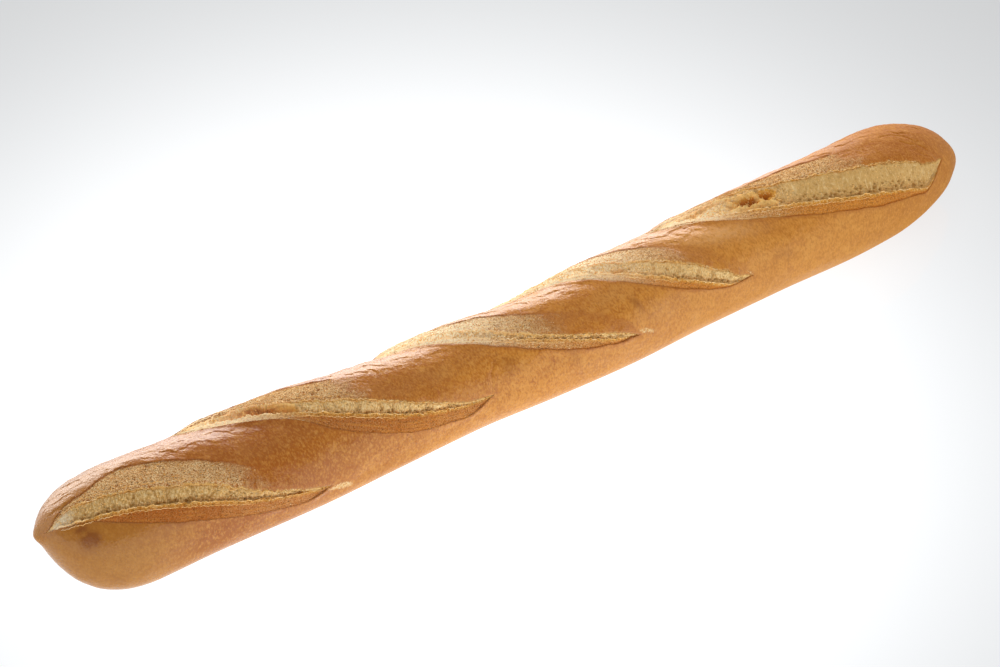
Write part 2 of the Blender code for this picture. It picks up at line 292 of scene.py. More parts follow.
def girths(points):
    """Distance round each section from its crown, column 0, positive to the front."""
    step = np.linalg.norm(np.roll(points, -1, 1) - points, axis=-1)
    run = np.concatenate([np.zeros((len(points), 1)), np.cumsum(step, 1)[:, :-1]], 1)
    whole = step.sum(1, keepdims=True)
    return np.where(run > whole / 2, run - whole, run)


# ---- one slash --------------------------------------------------------------
def across_line(slash):
    """Length of a slash and the cosine and sine of its direction."""
    (x0, g0), (x1, g1) = slash["start"], slash["end"]
    length = math.hypot(x1 - x0, g1 - g0)
    return length, (x1 - x0) / length, (g1 - g0) / length


def slash_row(slash, name, along, to_ends=False):
    low, high = (slash[name][0], slash[name][-1]) if to_ends else (0.0, 0.0)
    return table(along, (0.0, *SLASH_STATIONS, 1.0), (low, *slash[name], high))


def slash_lines(slash, number, run):
    """Where a slash's four lines lie, across it: the front crust's edge, the
    torn lip, the torn edge behind the crumb, and the crust's edge behind the
    upper bloom. Each is torn or cut by hand, so it wavers, coarsely and finely."""
    length, _, _ = across_line(slash)
    along = run / length
    seed = 100 * number

    def n1(pitch, k):
        return noise(run / pitch, seed=seed + k)

    crumb_width = np.maximum(slash_row(slash, "crumb", along), 0.02)
    live = ease(np.minimum(along, 1 - along) * length / 6.0 + 0.15)
    lip = slash_row(slash, "lip", along)
    tear = lip + crumb_width
    upper = tear + slash_row(slash, "upper", along)
    lower = lip - slash_row(slash, "lower", along)
    lip = lip + live * (0.6 * n1(5.2, 1) + 0.55 * n1(1.9, 2) + 0.32 * n1(0.95, 3))
    for at, half, size in slash["arch"]:
        tear = tear + size * np.exp(-(((run - at) / half) ** 2))
    reach = np.minimum(crumb_width / 5, 1)
    notch = np.clip(n1(4.6, 4) - 0.25, 0, 1)
    tear = tear + live * reach * (1.1 * n1(8.5, 5) + 0.65 * n1(2.7, 6) + 0.45 * n1(1.2, 7) + 1.8 * notch)
    tear = np.maximum(tear, lip + 0.15)
    upper = np.maximum(upper + live * (0.8 * n1(13, 8) + 0.4 * n1(3.0, 9)), tear + 0.1)
    lower = np.minimum(lower + live * (0.7 * n1(14, 10) + 0.3 * n1(3.3, 11)), lip - 0.1)
    return along, crumb_width, lower, lip, tear, upper


def slash_layer(x, g, slash, number):
    """What one slash does at (x, girth): height, lean across it, and the signed
    distances to its lines that the finish is drawn from."""
    (x0, g0), _ = slash["start"], slash["end"]
    length, ca, sa = across_line(slash)
    run = (x - x0) * ca + (g - g0) * sa
    across = (x - x0) * sa - (g - g0) * ca
    seed = 100 * number
    along, crumb_width, lower, lip, tear, upper = slash_lines(slash, number, run)
    porous = slash_row(slash, "porous", along, True)

    def n1(pitch, k):
        return noise(run / pitch, seed=seed + k)

    def n2(pitch, other, k):
        return noise(run / pitch, across / other, seed=seed + k)

    start = 1 - ease(along / 0.32)
    open_ = np.clip(crumb_width / 5.5, 0, 1) ** 0.8 * (1 - 0.55 * start) * ease((1.01 - along) / 0.09)
    inside = ease((along + 0.05) / 0.14) * ease((1.02 - along) / 0.06)
    ear = slash["ear"] * ease((along + 0.06) / 0.1) * (1 - 0.75 * ease((along - 0.1) / 0.75))
    sink = slash["sink"] * ease((along + 0.06) / 0.1) * (1 - ease((along - 0.05) / 0.45))
    fade_at, fade_soft = slash["fade"]
    reach_up = np.clip((across - tear) / np.maximum(upper - tear, 1.0), 0, 1)
    fade = ease((along - fade_at + 0.05 * (reach_up - 0.4) + 0.05 * n2(9, 7, 12) + 0.025 * n2(3, 3, 42)) / fade_soft + 0.5)
    hook = slash["hooked"] * ease((along - 0.89) / 0.08)  # the crust laps over the slash's front end
    cave = bumps_at(run, across, slash["caves"])
    cave_wide = bumps_at(run, across, [(r, a, 1.15 * hr + 0.6, 1.3 * ha + 0.5, s) for r, a, hr, ha, s in slash["caves"]])
    strand = strands_at(run, across, slash["ridges"])

    # crumb: behind the lip a furrow, then a puffed face up to the torn edge
    width = np.maximum(tear - lip, 0.15)
    u = np.clip((across - lip) / width, 0, 1)
    lip_top = LIP_RISE * open_ * (1 - 0.35 * porous) * (0.9 + 0.4 * n1(7, 13) + 0.45 * n1(2.1, 14) + 0.25 * n1(1.0, 15))
    tear_top = TEAR_RISE * open_ * (0.95 + 0.35 * n1(8, 16) + 0.12 * n1(1.7, 17))
    furrow = -GROOVE_DEPTH * open_ * (1 - 0.65 * porous) * np.clip(crumb_width / 9.0, 0.25, 1.0) * np.clip(0.72 + 0.8 * n1(4.6, 18) + 0.35 * n1(1.9, 48), 0.1, 1.5)
    wall = np.clip(1.1 / width, 0.06, 0.3)
    w = np.clip((u - wall) / (1 - wall), 0, 1)
    rise = np.sin(0.5 * np.pi * w) ** 0.95
    face = mix(furrow, tear_top - 0.35 * open_, rise)
    face = face - 0.45 * open_ * np.exp(-(((tear - across - 0.5) / 0.45) ** 2))
    face = np.where(u < wall, mix(lip_top, furrow, ease(u / wall)), face)
    middle = np.sin(np.pi * np.clip(w, 0, 1)) ** 0.7
    # lobes side by side, with soft creases between them
    lobe_a, lobe_b, _, _ = cells(run / 9.5 + 0.22 * n2(8, 5, 19), 0.5 + 0 * run, seed=seed + 20)
    crease = np.exp(-(((lobe_b - lobe_a) * 9.5 / 1.1) ** 2))
    lobes = 2.0 * (0.35 - np.minimum(lobe_a, 0.8) ** 1.5) - 1.0 * crease
    warp = 1.3 * n2(6, 6, 21)
    streak = 0.10 * noise((run + warp) / 1.9, across / 5.0, seed=seed + 22) + 0.07 * noise((run + warp) / 0.95, across / 2.2, seed=seed + 23)
    lumps = 0.45 * n2(4.6, 3.8, 24) + 0.22 * n2(1.9, 1.7, 25)
    face = face + open_ * middle * (lobes * (1 - 0.5 * porous) * (1 - 0.75 * slash["smooth"]) + streak * (1 - 0.6 * porous) + lumps * (0.7 + 1.2 * porous))
    # pits: along the crumb's foot, and all over where it is open
    foot = ease((u - wall) / 0.08) * ease((0.52 - w) / 0.35)
    share = np.maximum(0.75 * foot, porous * ease((0.95 - u) / 0.1) * ease(u / 0.1))
    pit_d, _, pit_id, _ = cells(run / 2.5, across / 2.0, seed=seed + 26)
    fine_d, _, fine_id, _ = cells(run / 1.5, across / 1.25, seed=seed + 27)
    pit = ease((0.62 * pit_id * share - pit_d + 0.10) / 0.22)
    fine = ease((0.66 * fine_id * np.maximum(share, 0.25) - fine_d + 0.08) / 0.22)
    face = face - np.maximum(open_, 0.5 * porous) * (1.3 * pit + (0.5 + 0.5 * porous) * fine * (1 - pit))
    ragged = cave * np.clip(0.9 + 1.2 * n2(2.8, 2.2, 28) + 1.0 * n2(1.4, 1.2, 29), 0, 2)
    face = face - ragged * ease((1.02 - u) / 0.10) * ease((u + 0.02) / 0.1)
    face = face + strand * (0.8 + 0.5 * n2(2.3, 2.0, 30))

    # upper bloom: strips of torn skin by the tear, then a granular field up to the crust's edge
    t = np.clip((across - tear) / np.maximum(upper - tear, 0.5), 0, 1)
    ledge = CRUST_STEP * (1 - fade) + 0.25 + ear
    near = across - tear
    strips = (1 - np.abs(np.sin(np.pi * (near / 2.1 + 0.55 * n2(13, 4, 31))))) ** 2 * np.exp(-((near / 7.0) ** 2)) * ease(near / 1.2)
    strips = strips * ease(0.5 + 1.6 * n2(9, 3, 32))
    grain = 0.30 * n2(1.3, 1.2, 33) + 0.20 * n2(2.9, 2.3, 34)
    hole_d, _, hole_id, _ = cells(run / 3.6, across / 2.4, seed=seed + 35)
    holes = ease((0.30 * hole_id**2 - hole_d + 0.02) / 0.12)
    top = mix(tear_top, ledge - CRUST_STEP * (1 - fade), ease(t**0.9))
    top = top + np.minimum(1, (1 - t) * 6) * ((1 - 0.8 * fade) * (grain - 0.6 * holes) + 0.55 * strips * (1 - 0.6 * fade))

    # lower bloom: strips along the slash, from the front crust's edge up to the lip
    t = np.clip((across - lower) / np.maximum(lip - lower, 0.3), 0, 1)
    rim = (slash_row(slash, "rim", along, True) + 0.4 * hook) * inside
    crust_front = 0.10 + 0.20 * hook - sink
    gap = 0.05 + 0.09 * rim + 0.12 * hook
    band_phase = (across - lower) / 2.2 + 0.5 * n2(16, 5, 36)
    band = slash["bands"] * 0.38 * (0.5 - np.abs((band_phase % 1.0) - 0.5)) * 2 * ease(0.6 + n2(11, 3, 37))
    grain_low = 0.14 * n2(2.2, 1.4, 38) + porous * (0.2 * n2(1.3, 1.1, 39) - 0.5 * fine)
    front = mix(crust_front - gap, lip_top, t**1.4) + (1 - 0.6 * hook) * (band + grain_low) * np.sin(np.pi * t)
    front = front - 0.22 * hook * np.exp(-(((across - lower - 0.6) / 0.5) ** 2))

    behind = np.clip(across - upper, 0, None)
    step_off = 0.8 * CRUST_STEP * (1 - fade) * ease(0.45 + 1.1 * n1(9, 50) + 0.5 * n1(3.1, 51))
    before = np.clip(lower - across, 0, None)
    crust_behind = ledge * np.exp(-((behind / EAR_REACH) ** 1.5)) + 0.22 * (1 - fade) * np.exp(-((behind / 1.4) ** 2))
    crust_before = crust_front * np.exp(-((before / SINK_REACH) ** 1.5)) + rim * np.exp(-((before / 2.0) ** 1.6))

    height = np.where(across >= upper, crust_behind - step_off * np.exp(-((behind / 2.5) ** 2)), top)
    height = np.where(across < tear, face, height)
    height = np.where(across < lip, front, height)
    height = np.where(across < lower, crust_before, height)
    height = height * inside

    # leans: the lip curls back over the furrow, the torn edge and the crust's
    # edges stand out over what is below them
    lean = 1.0 * open_ * np.exp(-(((across - lip + 0.2) / 0.7) ** 2)) * (0.7 + 0.9 * n1(2.8, 40))
    lean = lean - (0.9 * open_ + 0.4 * np.minimum(cave, 3)) * np.exp(-(((across - tear) / 0.9) ** 2)) * (0.8 + 0.8 * n1(2.3, 41))
    lean = lean - 0.25 * (1 - fade) * np.exp(-(((across - upper - 0.2) / 0.8) ** 2))
    lean = lean + (0.09 * rim + 0.20 * hook) * np.exp(-(((across - lower + 0.2) / 0.8) ** 2))
    lean = lean * inside

    # painted glow and backlight: where the slash's start is painted cream and made to glow, less in the hollows
    lit_to, lit_behind = slash["lit"]
    lit = np.minimum(1.0, (1 - ease(along / lit_to)) * mix(1, lit_behind, ease(0.5 + (across - tear) / 1.6))) * (1 - 0.75 * ease(cave_wide / 4.0))
    ends = np.minimum(along, 1 - along) * length
    outside = np.maximum(np.maximum(lower - across, across - upper), -ends)
    pitted = np.where(across < tear, np.maximum(pit, 0.7 * fine), holes * (1 - fade))
    pitted = np.where(across < lip, porous * fine, pitted)
    return dict(
        height=height, lean=lean, outside=outside, past_lip=across - lip, past_tear=across - tear,
        run=run + 400.0 * number, across=across, along=along, fade=fade, cave=cave_wide * inside, hook=hook, pit=pitted * inside,
        porous=porous, crease=np.maximum(crease * (1 - porous), 0) * middle * (1 - 0.75 * slash["smooth"]), strip=np.where(across > tear, strips, np.where(across < lip, band * 2.2, strand)),
        from_lower=across - lower, start=lit * inside,
        tail=bumps_at(run, across, slash["tail"]), line=slash["line"] + 0 * run, tone=slash["tone"] + 0 * run, smooth=slash["smooth"] + 0 * run,
    )


# ---- the whole skin ---------------------------------------------------------
# how far the crust has browned along the loaf
BROWN_AT = (-290, -262, -178, -128, -70, -22, 70, 180, 240, 290)
BROWN = (0.15, 0.25, 0.95, 0.60, 0.28, 0.04, 0.0, 0.08, 0.55, 1.00)
# how much it shines along the loaf
GLOSS_AT = (-290, -200, 60, 160, 215, 240, 290)
GLOSS = (1.0, 1.0, 0.9, 0.7, 0.35, 0.12, 0.05)
# toasted spots on the crust: (x, girth, half size one way, half size the other, turn in degrees, strength)
SPOTS = (
    (-273.0, 21.0, 4.8, 3.8, 45.0, 1.6), (-275.0, 14.0, 3.2, 1.6, 10.0, 1.2), (53.5, 22.0, 5.0, 2.6, 70.0, 0.7),
    (-27.3, 23.1, 6.0, 5.0, 20.0, 0.45), (-119.0, 20.0, 9.0, 3.0, 60.0, 0.4), (8.0, 26.0, 10.0, 3.6, 75.0, 0.45),
    (96.0, 24.0, 9.0, 4.0, 60.0, 0.35), (150.0, 34.0, 7.0, 3.0, 30.0, 0.3), (-230.0, 33.0, 9.0, 4.0, 15.0, 0.35),
)
# paler patches of crust, in the same terms; the large first one, on the crown before the fifth slash, is a painted
# sheen
PALES = (
    (114.0, 5.0, 26.0, 6.0, 20.0, 1.15), (66.0, 30.0, 12.0, 7.0, 30.0, 0.35), (218.0, 26.0, 26.0, 9.0, 10.0, 0.35), (30.0, 44.0, 22.0, 8.0, 5.0, 0.3),
)
# cracks and creases in the crust, with how deep and how wide they are: (depth, half width, ((x, girth), ...))
CRACKS = (
    (0.45, 0.5, ((-92.4, 35.2), (-93.4, 37.1), (-91.5, 40.5))), (0.35, 0.4, ((-93.4, 37.1), (-96.0, 39.0))),
    (0.35, 0.6, ((-41.2, 32.3), (-39.0, 24.1), (-34.4, 17.9), (-29.9, 12.0))),
    (0.55, 0.6, ((-199.8, 11.0), (-195.8, 15.7), (-194.3, 20.7), (-196.6, 26.8))), (0.35, 0.5, ((-195.8, 15.7), (-191.5, 17.5))),
    (0.45, 0.6, ((246.0, 6.0), (250.0, 9.0), (255.0, 10.5), (259.0, 15.0))), (0.40, 0.5, ((248.0, 13.0), (253.0, 12.0), (257.0, 8.0))),
    (0.40, 0.5, ((238.0, -3.0), (246.0, -1.0), (252.0, 3.0), (255.0, 9.0))), (0.35, 0.5, ((252.0, 16.0), (258.0, 20.0), (262.0, 27.0))),
)
FAR = dict(height=0.0, lean=0.0, outside=60.0, past_lip=-60.0, past_tear=-60.0, run=0.0, across=-60.0, along=-1.0, fade=1.0,
           cave=0.0, hook=0.0, pit=0.0, porous=0.0, crease=0.0, strip=0.0, from_lower=-60.0, start=0.0, tail=0.0, line=0.5, tone=1.0, smooth=0.0)


def spots_at(x, g, spots):
    total = np.zeros_like(x)
    for at_x, at_g, one, other, turn, strength in spots:
        c, s = math.cos(math.radians(turn)), math.sin(math.radians(turn))
        u, v = (x - at_x) * c + (g - at_g) * s, (g - at_g) * c - (x - at_x) * s
        total = total + strength * np.exp(-(((u / one) ** 2 + (v / other) ** 2) ** 1.3))
    return total


def skin():
    angle = column_angles()
    x = ring_positions()
    plain = body(x, angle)
    along = unit(np.gradient(plain, axis=0))
    round_ = unit(np.roll(plain, -1, 1) - np.roll(plain, 1, 1))
    normal = unit(np.cross(round_, along))
    middle = plain.mean(1, keepdims=True)
    if ((plain - middle) * normal).sum() < 0:
        normal = -normal
    normal[0], normal[-1] = (-1, 0, 0), (1, 0, 0)
    g = girths(plain)
    xs, ys, zs = plain[..., 0], plain[..., 1], plain[..., 2]

    layers, shift = [], np.zeros(plain.shape)
    for k, slash in enumerate(SLASHES):
        (x0, g0), (x1, g1) = slash["start"], slash["end"]
        long_ = math.hypot(x1 - x0, g1 - g0)
        ca, sa = (x1 - x0) / long_, (g1 - g0) / long_
        run = (xs - x0) * ca + (g - g0) * sa
        across = (xs - x0) * sa - (g - g0) * ca
        near = (run > -14) & (run < long_ + 14) & (np.abs(across) < 62)
        found = slash_layer(xs[near], g[near], slash, k)
        layer = {name: np.full(xs.shape, value) for name, value in FAR.items()}
        for name in layer:
            layer[name][near] = found[name]
        layers.append(layer)
        shift += layer["lean"][..., None] * (sa * along - ca * round_)
    height = sum(layer["height"] for layer in layers)
    outside = np.stack([layer["outside"] for layer in layers])
    pick = outside.argmin(0)

    def chosen(name):
        return np.take_along_axis(np.stack([layer[name] for layer in layers]), pick[None], 0)[0]

    away = ease(outside.min(0) / 4.0)
    upper_side = ease((zs - 5.0) / 16.0)
    crown_side = ease((zs - 6.0) / 14.0)
    # hand-shaped unevenness, then the plates and wrinkles of the stretched skin
    shaped = 0.45 * np.sin(xs / 31.0 + g / 23.0) + 0.35 * np.sin(xs / 17.0 - g / 14.0 + 1.3)
    dents = 0.50 * noise(xs / 26, ys / 20, zs / 20, seed=5) + 0.25 * noise(xs / 11, ys / 9, zs / 9, seed=6)
    lie = xs * 0.33 - g * 0.944  # across the slashes' common direction
    ride = xs * 0.944 + g * 0.33
    bend = 0.5 * noise(ride / 15, lie / 9, seed=7)
    # each plate tips back and laps over the next one down, like a scale
    wander = 0.26 * noise(ride / 3.6, lie / 3.0, seed=14)
    plate_a, plate_b, plate_id, plate_y = cells(ride / 9.0 + bend + wander, lie / 6.4 + 0.6 * bend + wander, seed=9)
    small_a, small_b, small_id, small_y = cells(ride / 4.4 + 1.6 * bend, lie / 2.7 + bend + wander, seed=10)
    plates = (0.1 + 0.8 * plate_id) * (-0.43 * plate_y) + 0.12 * (0.45 - plate_a**1.6)
    plates = plates + (0.1 + 0.6 * small_id) * (-0.09 * small_y)
    plates = plates * (0.06 + 0.94 * ease((9 - g) / 13))
    blister = 0.10 * noise(xs / 3.1, ys / 3.1, zs / 3.1, seed=8) + 0.07 * noise(xs / 1.5, ys / 1.5, zs / 1.5, seed=11)
    calm = np.maximum(away, 0.8 * chosen("fade") * (chosen("past_tear") > 0.5))
    tips = ease((LENGTH / 2 - np.abs(xs)) / 8.0)
    cracks = strands_at(xs + 0.5 * noise(g / 2.5, xs / 9, seed=12), g + 0.4 * noise(xs / 2.5, seed=13), CRACKS)
    height = height + shaped * crown_side + calm * (dents * upper_side + (plates + blister) * crown_side) - cracks * crown_side
    points = plain + normal * (height * tips * mix(0.15, 1.0, crown_side))[..., None] + shift * (tips * crown_side)[..., None]
    off = np.hypot(points[..., 1] - LEFT_CAP["tip_y"], points[..., 2] - LEFT_CAP["tip_z"] - LEFT_CAP["lift"])
    points[..., 0] -= np.where(xs < -LENGTH / 2 + 30, NUB_HEIGHT * np.exp(-((off / NUB_RADIUS) ** 2)), 0.0)
    points[..., 2] = np.maximum(points[..., 2], 0.0)
    marks = {
        "slash_a": np.stack([outside.min(0), chosen("past_lip"), chosen("past_tear")], -1),
        "slash_b": np.stack([chosen("run"), chosen("across"), chosen("fade")], -1),
        "slash_c": np.stack([chosen("strip"), chosen("cave"), chosen("pit")], -1),
        "slash_d": np.stack([g, chosen("hook"), chosen("porous")], -1),
        "slash_e": np.stack([chosen("crease"), chosen("from_lower"), np.broadcast_to(table(xs, BROWN_AT, BROWN), xs.shape)], -1),
        "slash_f": np.stack([spots_at(xs, g, SPOTS), np.max([layer["tail"] for layer in layers], 0), np.broadcast_to(table(xs, GLOSS_AT, GLOSS), xs.shape)], -1),
        "slash_g": np.stack([chosen("line"), chosen("tone"), chosen("start")], -1),
        "slash_h": np.stack([chosen("smooth"), spots_at(xs, g, PALES), 0 * xs], -1),
    }
    return points, marks, x, g, normal


def fit_box(points):
    """Brings the fine skin into the CAD box, which it differs from by a hair."""
    low, high = np.array(CAD_LOW) / MM, np.array(CAD_HIGH) / MM
    a, b = points.reshape(-1, 3).min(0), points.reshape(-1, 3).max(0)
    return low + (points - a) * (high - low) / (b - a)


def grid_mesh(name, points, marks):
    rings, columns = points.shape[:2]
    inner = points[1:-1].reshape(-1, 3)
    ends = np.array([points[0].mean(0), points[-1].mean(0)])
    co = np.concatenate([inner, ends]) * MM
    ring = np.arange(rings - 3)[:, None] * columns
    col = np.arange(columns)[None]
    nxt = (col + 1) % columns
    quads = np.stack([ring + col, ring + nxt, ring + columns + nxt, ring + columns + col], -1).reshape(-1, 4)
    last = (rings - 3) * columns
    c = np.arange(columns)
    d = (c + 1) % columns
    n = len(inner)
    fans = np.concatenate([np.stack([d, c, 0 * c + n], -1), np.stack([last + c, last + d, 0 * c + n + 1], -1)])
    tri = np.concatenate([quads[:, [0, 1, 2]], quads[:, [0, 2, 3]], fans])
    volume = np.einsum("ij,ij->", co[tri[:, 0]], np.cross(co[tri[:, 1]], co[tri[:, 2]]))
    if volume < 0:
        tri = tri[:, ::-1]
    mesh = bpy.data.meshes.new(name)
    mesh.vertices.add(len(co))
    mesh.vertices.foreach_set("co", co.astype(np.float32).ravel())
    mesh.loops.add(len(tri) * 3)
    mesh.loops.foreach_set("vertex_index", tri.astype(np.int32).ravel())
    mesh.polygons.add(len(tri))
    mesh.polygons.foreach_set("loop_start", np.arange(0, len(tri) * 3, 3, dtype=np.int32))
    mesh.update()
    mesh.validate()
    for name, value in marks.items():
        data = np.concatenate([value[1:-1].reshape(-1, 3), value[[0, -1]].mean(1)])
        mesh.attributes.new(name, "FLOAT_VECTOR", "POINT").data.foreach_set("vector", data.astype(np.float32).ravel())
    return mesh


def thinned(mesh, share):
    """The mesh with its flatter triangles merged, as a new mesh."""
    holder = bpy.data.objects.new("thinning", mesh)
    bpy.context.scene.collection.objects.link(holder)
    thin = holder.modifiers.new("thin", "DECIMATE")
    thin.ratio = share
    graph = bpy.context.evaluated_depsgraph_get()
    made = bpy.data.meshes.new_from_object(holder.evaluated_get(graph))
    bpy.data.objects.remove(holder, do_unlink=True)
    co = np.empty(len(made.vertices) * 3, np.float32)
    made.vertices.foreach_get("co", co)
    co = np.clip(co.reshape(-1, 3), np.array(CAD_LOW, np.float32), np.array(CAD_HIGH, np.float32))
    made.vertices.foreach_set("co", co.ravel())
    made.update()
    return made


# ---- thin torn flakes standing along the slashes' edges ----------------------
# (line, share of the way to the next line, height, lean, ends along the slash, strength by slash)
FRINGES = (
    ("lip", 0.0, 1.5, 0.5, (0.02, 0.95), (0.8, 0.6, 0.5, 0.75, 0.8)),
    ("lip", -1.3, 1.1, 0.2, (0.04, 0.70), (0.5, 0.45, 0.3, 0.5, 0.4)),
    ("tear", 0.2, 1.3, -1.0, (0.02, 0.88), (0.7, 0.8, 0.4, 0.7, 0.7)),
    ("tear", 2.2, 0.9, -0.6, (0.05, 0.55), (0.7, 0.7, 0.3, 0.5, 0.8)),
    ("upper", -0.2, 0.7, -0.6, (-0.01, 0.40), (0.0, 0.7, 0.8, 0.7, 0.6)),
    ("lower", 0.4, 0.9, 0.3, (-0.01, 0.40), (0.0, 1.0, 1.0, 1.0, 0.7)),
)
FLAKE_PITCH = 0.36


def unrolled(girth, *fields):
    """Girths and fields with each ring's columns in order of girth."""
    order = np.argsort(girth, 1)
    return [np.take_along_axis(girth, order, 1)] + [np.take_along_axis(f, order[..., None], 1) for f in fields]


def on_skin(rings, girth, field, at_x, at_g):
    """The field at each (x, girth)."""
    first = np.clip(np.searchsorted(rings, at_x) - 1, 0, len(rings) - 2)
    share = (at_x - rings[first]) / (rings[first + 1] - rings[first])
    found = np.empty((len(at_x), 3))
    for k, i in enumerate(first):
        for axis in range(3):
            a = np.interp(at_g[k], girth[i], field[i, :, axis])
            b = np.interp(at_g[k], girth[i + 1], field[i + 1, :, axis])
            found[k, axis] = a + (b - a) * share[k]
    return found


def fringe(rings, girth, points, normals, slash, number, row, seed):
    """One ragged strip: six corners at each station, and how far each station reaches."""
    line, shift, tall, lean, (begin, finish), sizes = row
    length, ca, sa = across_line(slash)
    (x0, g0), size = slash["start"], sizes[number]
    run = np.arange(begin * length, finish * length, FLAKE_PITCH)
    along, crumb_width, lower, lip, tear, upper = slash_lines(slash, number, run)
    at = dict(lower=lower, lip=lip, tear=tear, upper=upper)[line] + shift
    at = at + 0.35 * noise(run / 1.7, seed=seed + 1)
    begins = 1 - ease(along / slash["lit"][0])
    reach = 0.42 + 1.0 * noise(run / 9.0, seed=seed + 2) + 0.45 * noise(run / 3.1, seed=seed + 3) + 0.30 * noise(run / 1.0, seed=seed + 4)
    reach = tall * size * (reach + 0.15 * (1 - ease(along / 0.30)))
    reach = reach * ease((along - begin) / 0.03) * ease((finish - along) / 0.08) * np.clip(crumb_width / 3.0, 0.35, 1.0)
    here = on_skin(rings, girth, points, x0 + run * ca + at * sa, g0 + run * sa - at * ca)
    up = unit(on_skin(rings, girth, normals, x0 + run * ca + at * sa, g0 + run * sa - at * ca))
    there = on_skin(rings, girth, points, x0 + run * ca + (at + 0.6) * sa, g0 + run * sa - (at + 0.6) * ca)
    side = there - here
    side = unit(side - (side * up).sum(-1, keepdims=True) * up)
    reach = np.maximum(reach, -0.3)[:, None]
    tip = here + reach * up + (lean + 0.5 * noise(run / 2.2, seed=seed + 5))[:, None] * np.maximum(reach, 0) * side
    middle = here + 0.5 * reach * up + 0.32 * (lean * np.maximum(reach, 0)) * side
    base = here - 0.7 * up
    half = 0.5 * np.array((0.50, 0.30, 0.08))
    ring = [base - half[0] * side, middle - half[1] * side, tip - half[2] * side, tip + half[2] * side, middle + half[1] * side, base + half[0] * side]
    return np.stack(ring, 1), begins


def build_flakes(rings, girth, points, normals):
    co, tri, begun, offset = [], [], [], 0
    for number, slash in enumerate(SLASHES):
        for k, row in enumerate(FRINGES):
            if row[5][number] == 0:
                continue
            strip, begins = fringe(rings, girth, points, normals, slash, number, row, 1000 + 100 * number + 10 * k)
            count, corners = strip.shape[:2]
            station = np.arange(count - 1)[:, None] * corners
            c = np.arange(corners)[None]
            n = (c + 1) % corners
            quads = np.stack([station + c, station + n, station + corners + n, station + corners + c], -1).reshape(-1, 4)
            faces = [quads[:, [0, 2, 1]], quads[:, [0, 3, 2]]]
            last = (count - 1) * corners
            faces.append(np.array([(0, m, m + 1) for m in range(1, corners - 1)]))
            faces.append(np.array([(last, last + m + 1, last + m) for m in range(1, corners - 1)]))
            faces = np.concatenate(faces)
            flat_ = strip.reshape(-1, 3)
            volume = np.einsum("ij,ij->", flat_[faces[:, 0]] - flat_[0], np.cross(flat_[faces[:, 1]] - flat_[0], flat_[faces[:, 2]] - flat_[0]))
            if volume < 0:
                faces = faces[:, ::-1]
            co.append(flat_)
            begun.append(np.repeat(begins, corners))
            tri.append(faces + offset)
            offset += len(flat_)
    co = np.concatenate(co)
    tip = np.tile((0.0, 0.45, 1.0, 1.0, 0.45, 0.0), len(co) // 6)
    obj = loose_mesh("crust_flakes", co, np.concatenate(tri), np.stack([tip, np.concatenate(begun), 0 * tip], -1))
    obj.data.shade_smooth()
    return obj


def loose_mesh(name, co, tri, marks):
    low, high = np.array(CAD_LOW) / MM + 0.02, np.array(CAD_HIGH) / MM - 0.02
    co = np.clip(co, low, high) * MM
    mesh = bpy.data.meshes.new(name)
    mesh.vertices.add(len(co))
    mesh.vertices.foreach_set("co", co.astype(np.float32).ravel())
    mesh.loops.add(len(tri) * 3)
    mesh.loops.foreach_set("vertex_index", tri.astype(np.int32).ravel())
    mesh.polygons.add(len(tri))
    mesh.polygons.foreach_set("loop_start", np.arange(0, len(tri) * 3, 3, dtype=np.int32))
    mesh.update()
    mesh.attributes.new("flake", "FLOAT_VECTOR", "POINT").data.foreach_set("vector", marks.astype(np.float32).ravel())
    obj = bpy.data.objects.new(name, mesh)
    bpy.context.scene.collection.objects.link(obj)
    return obj


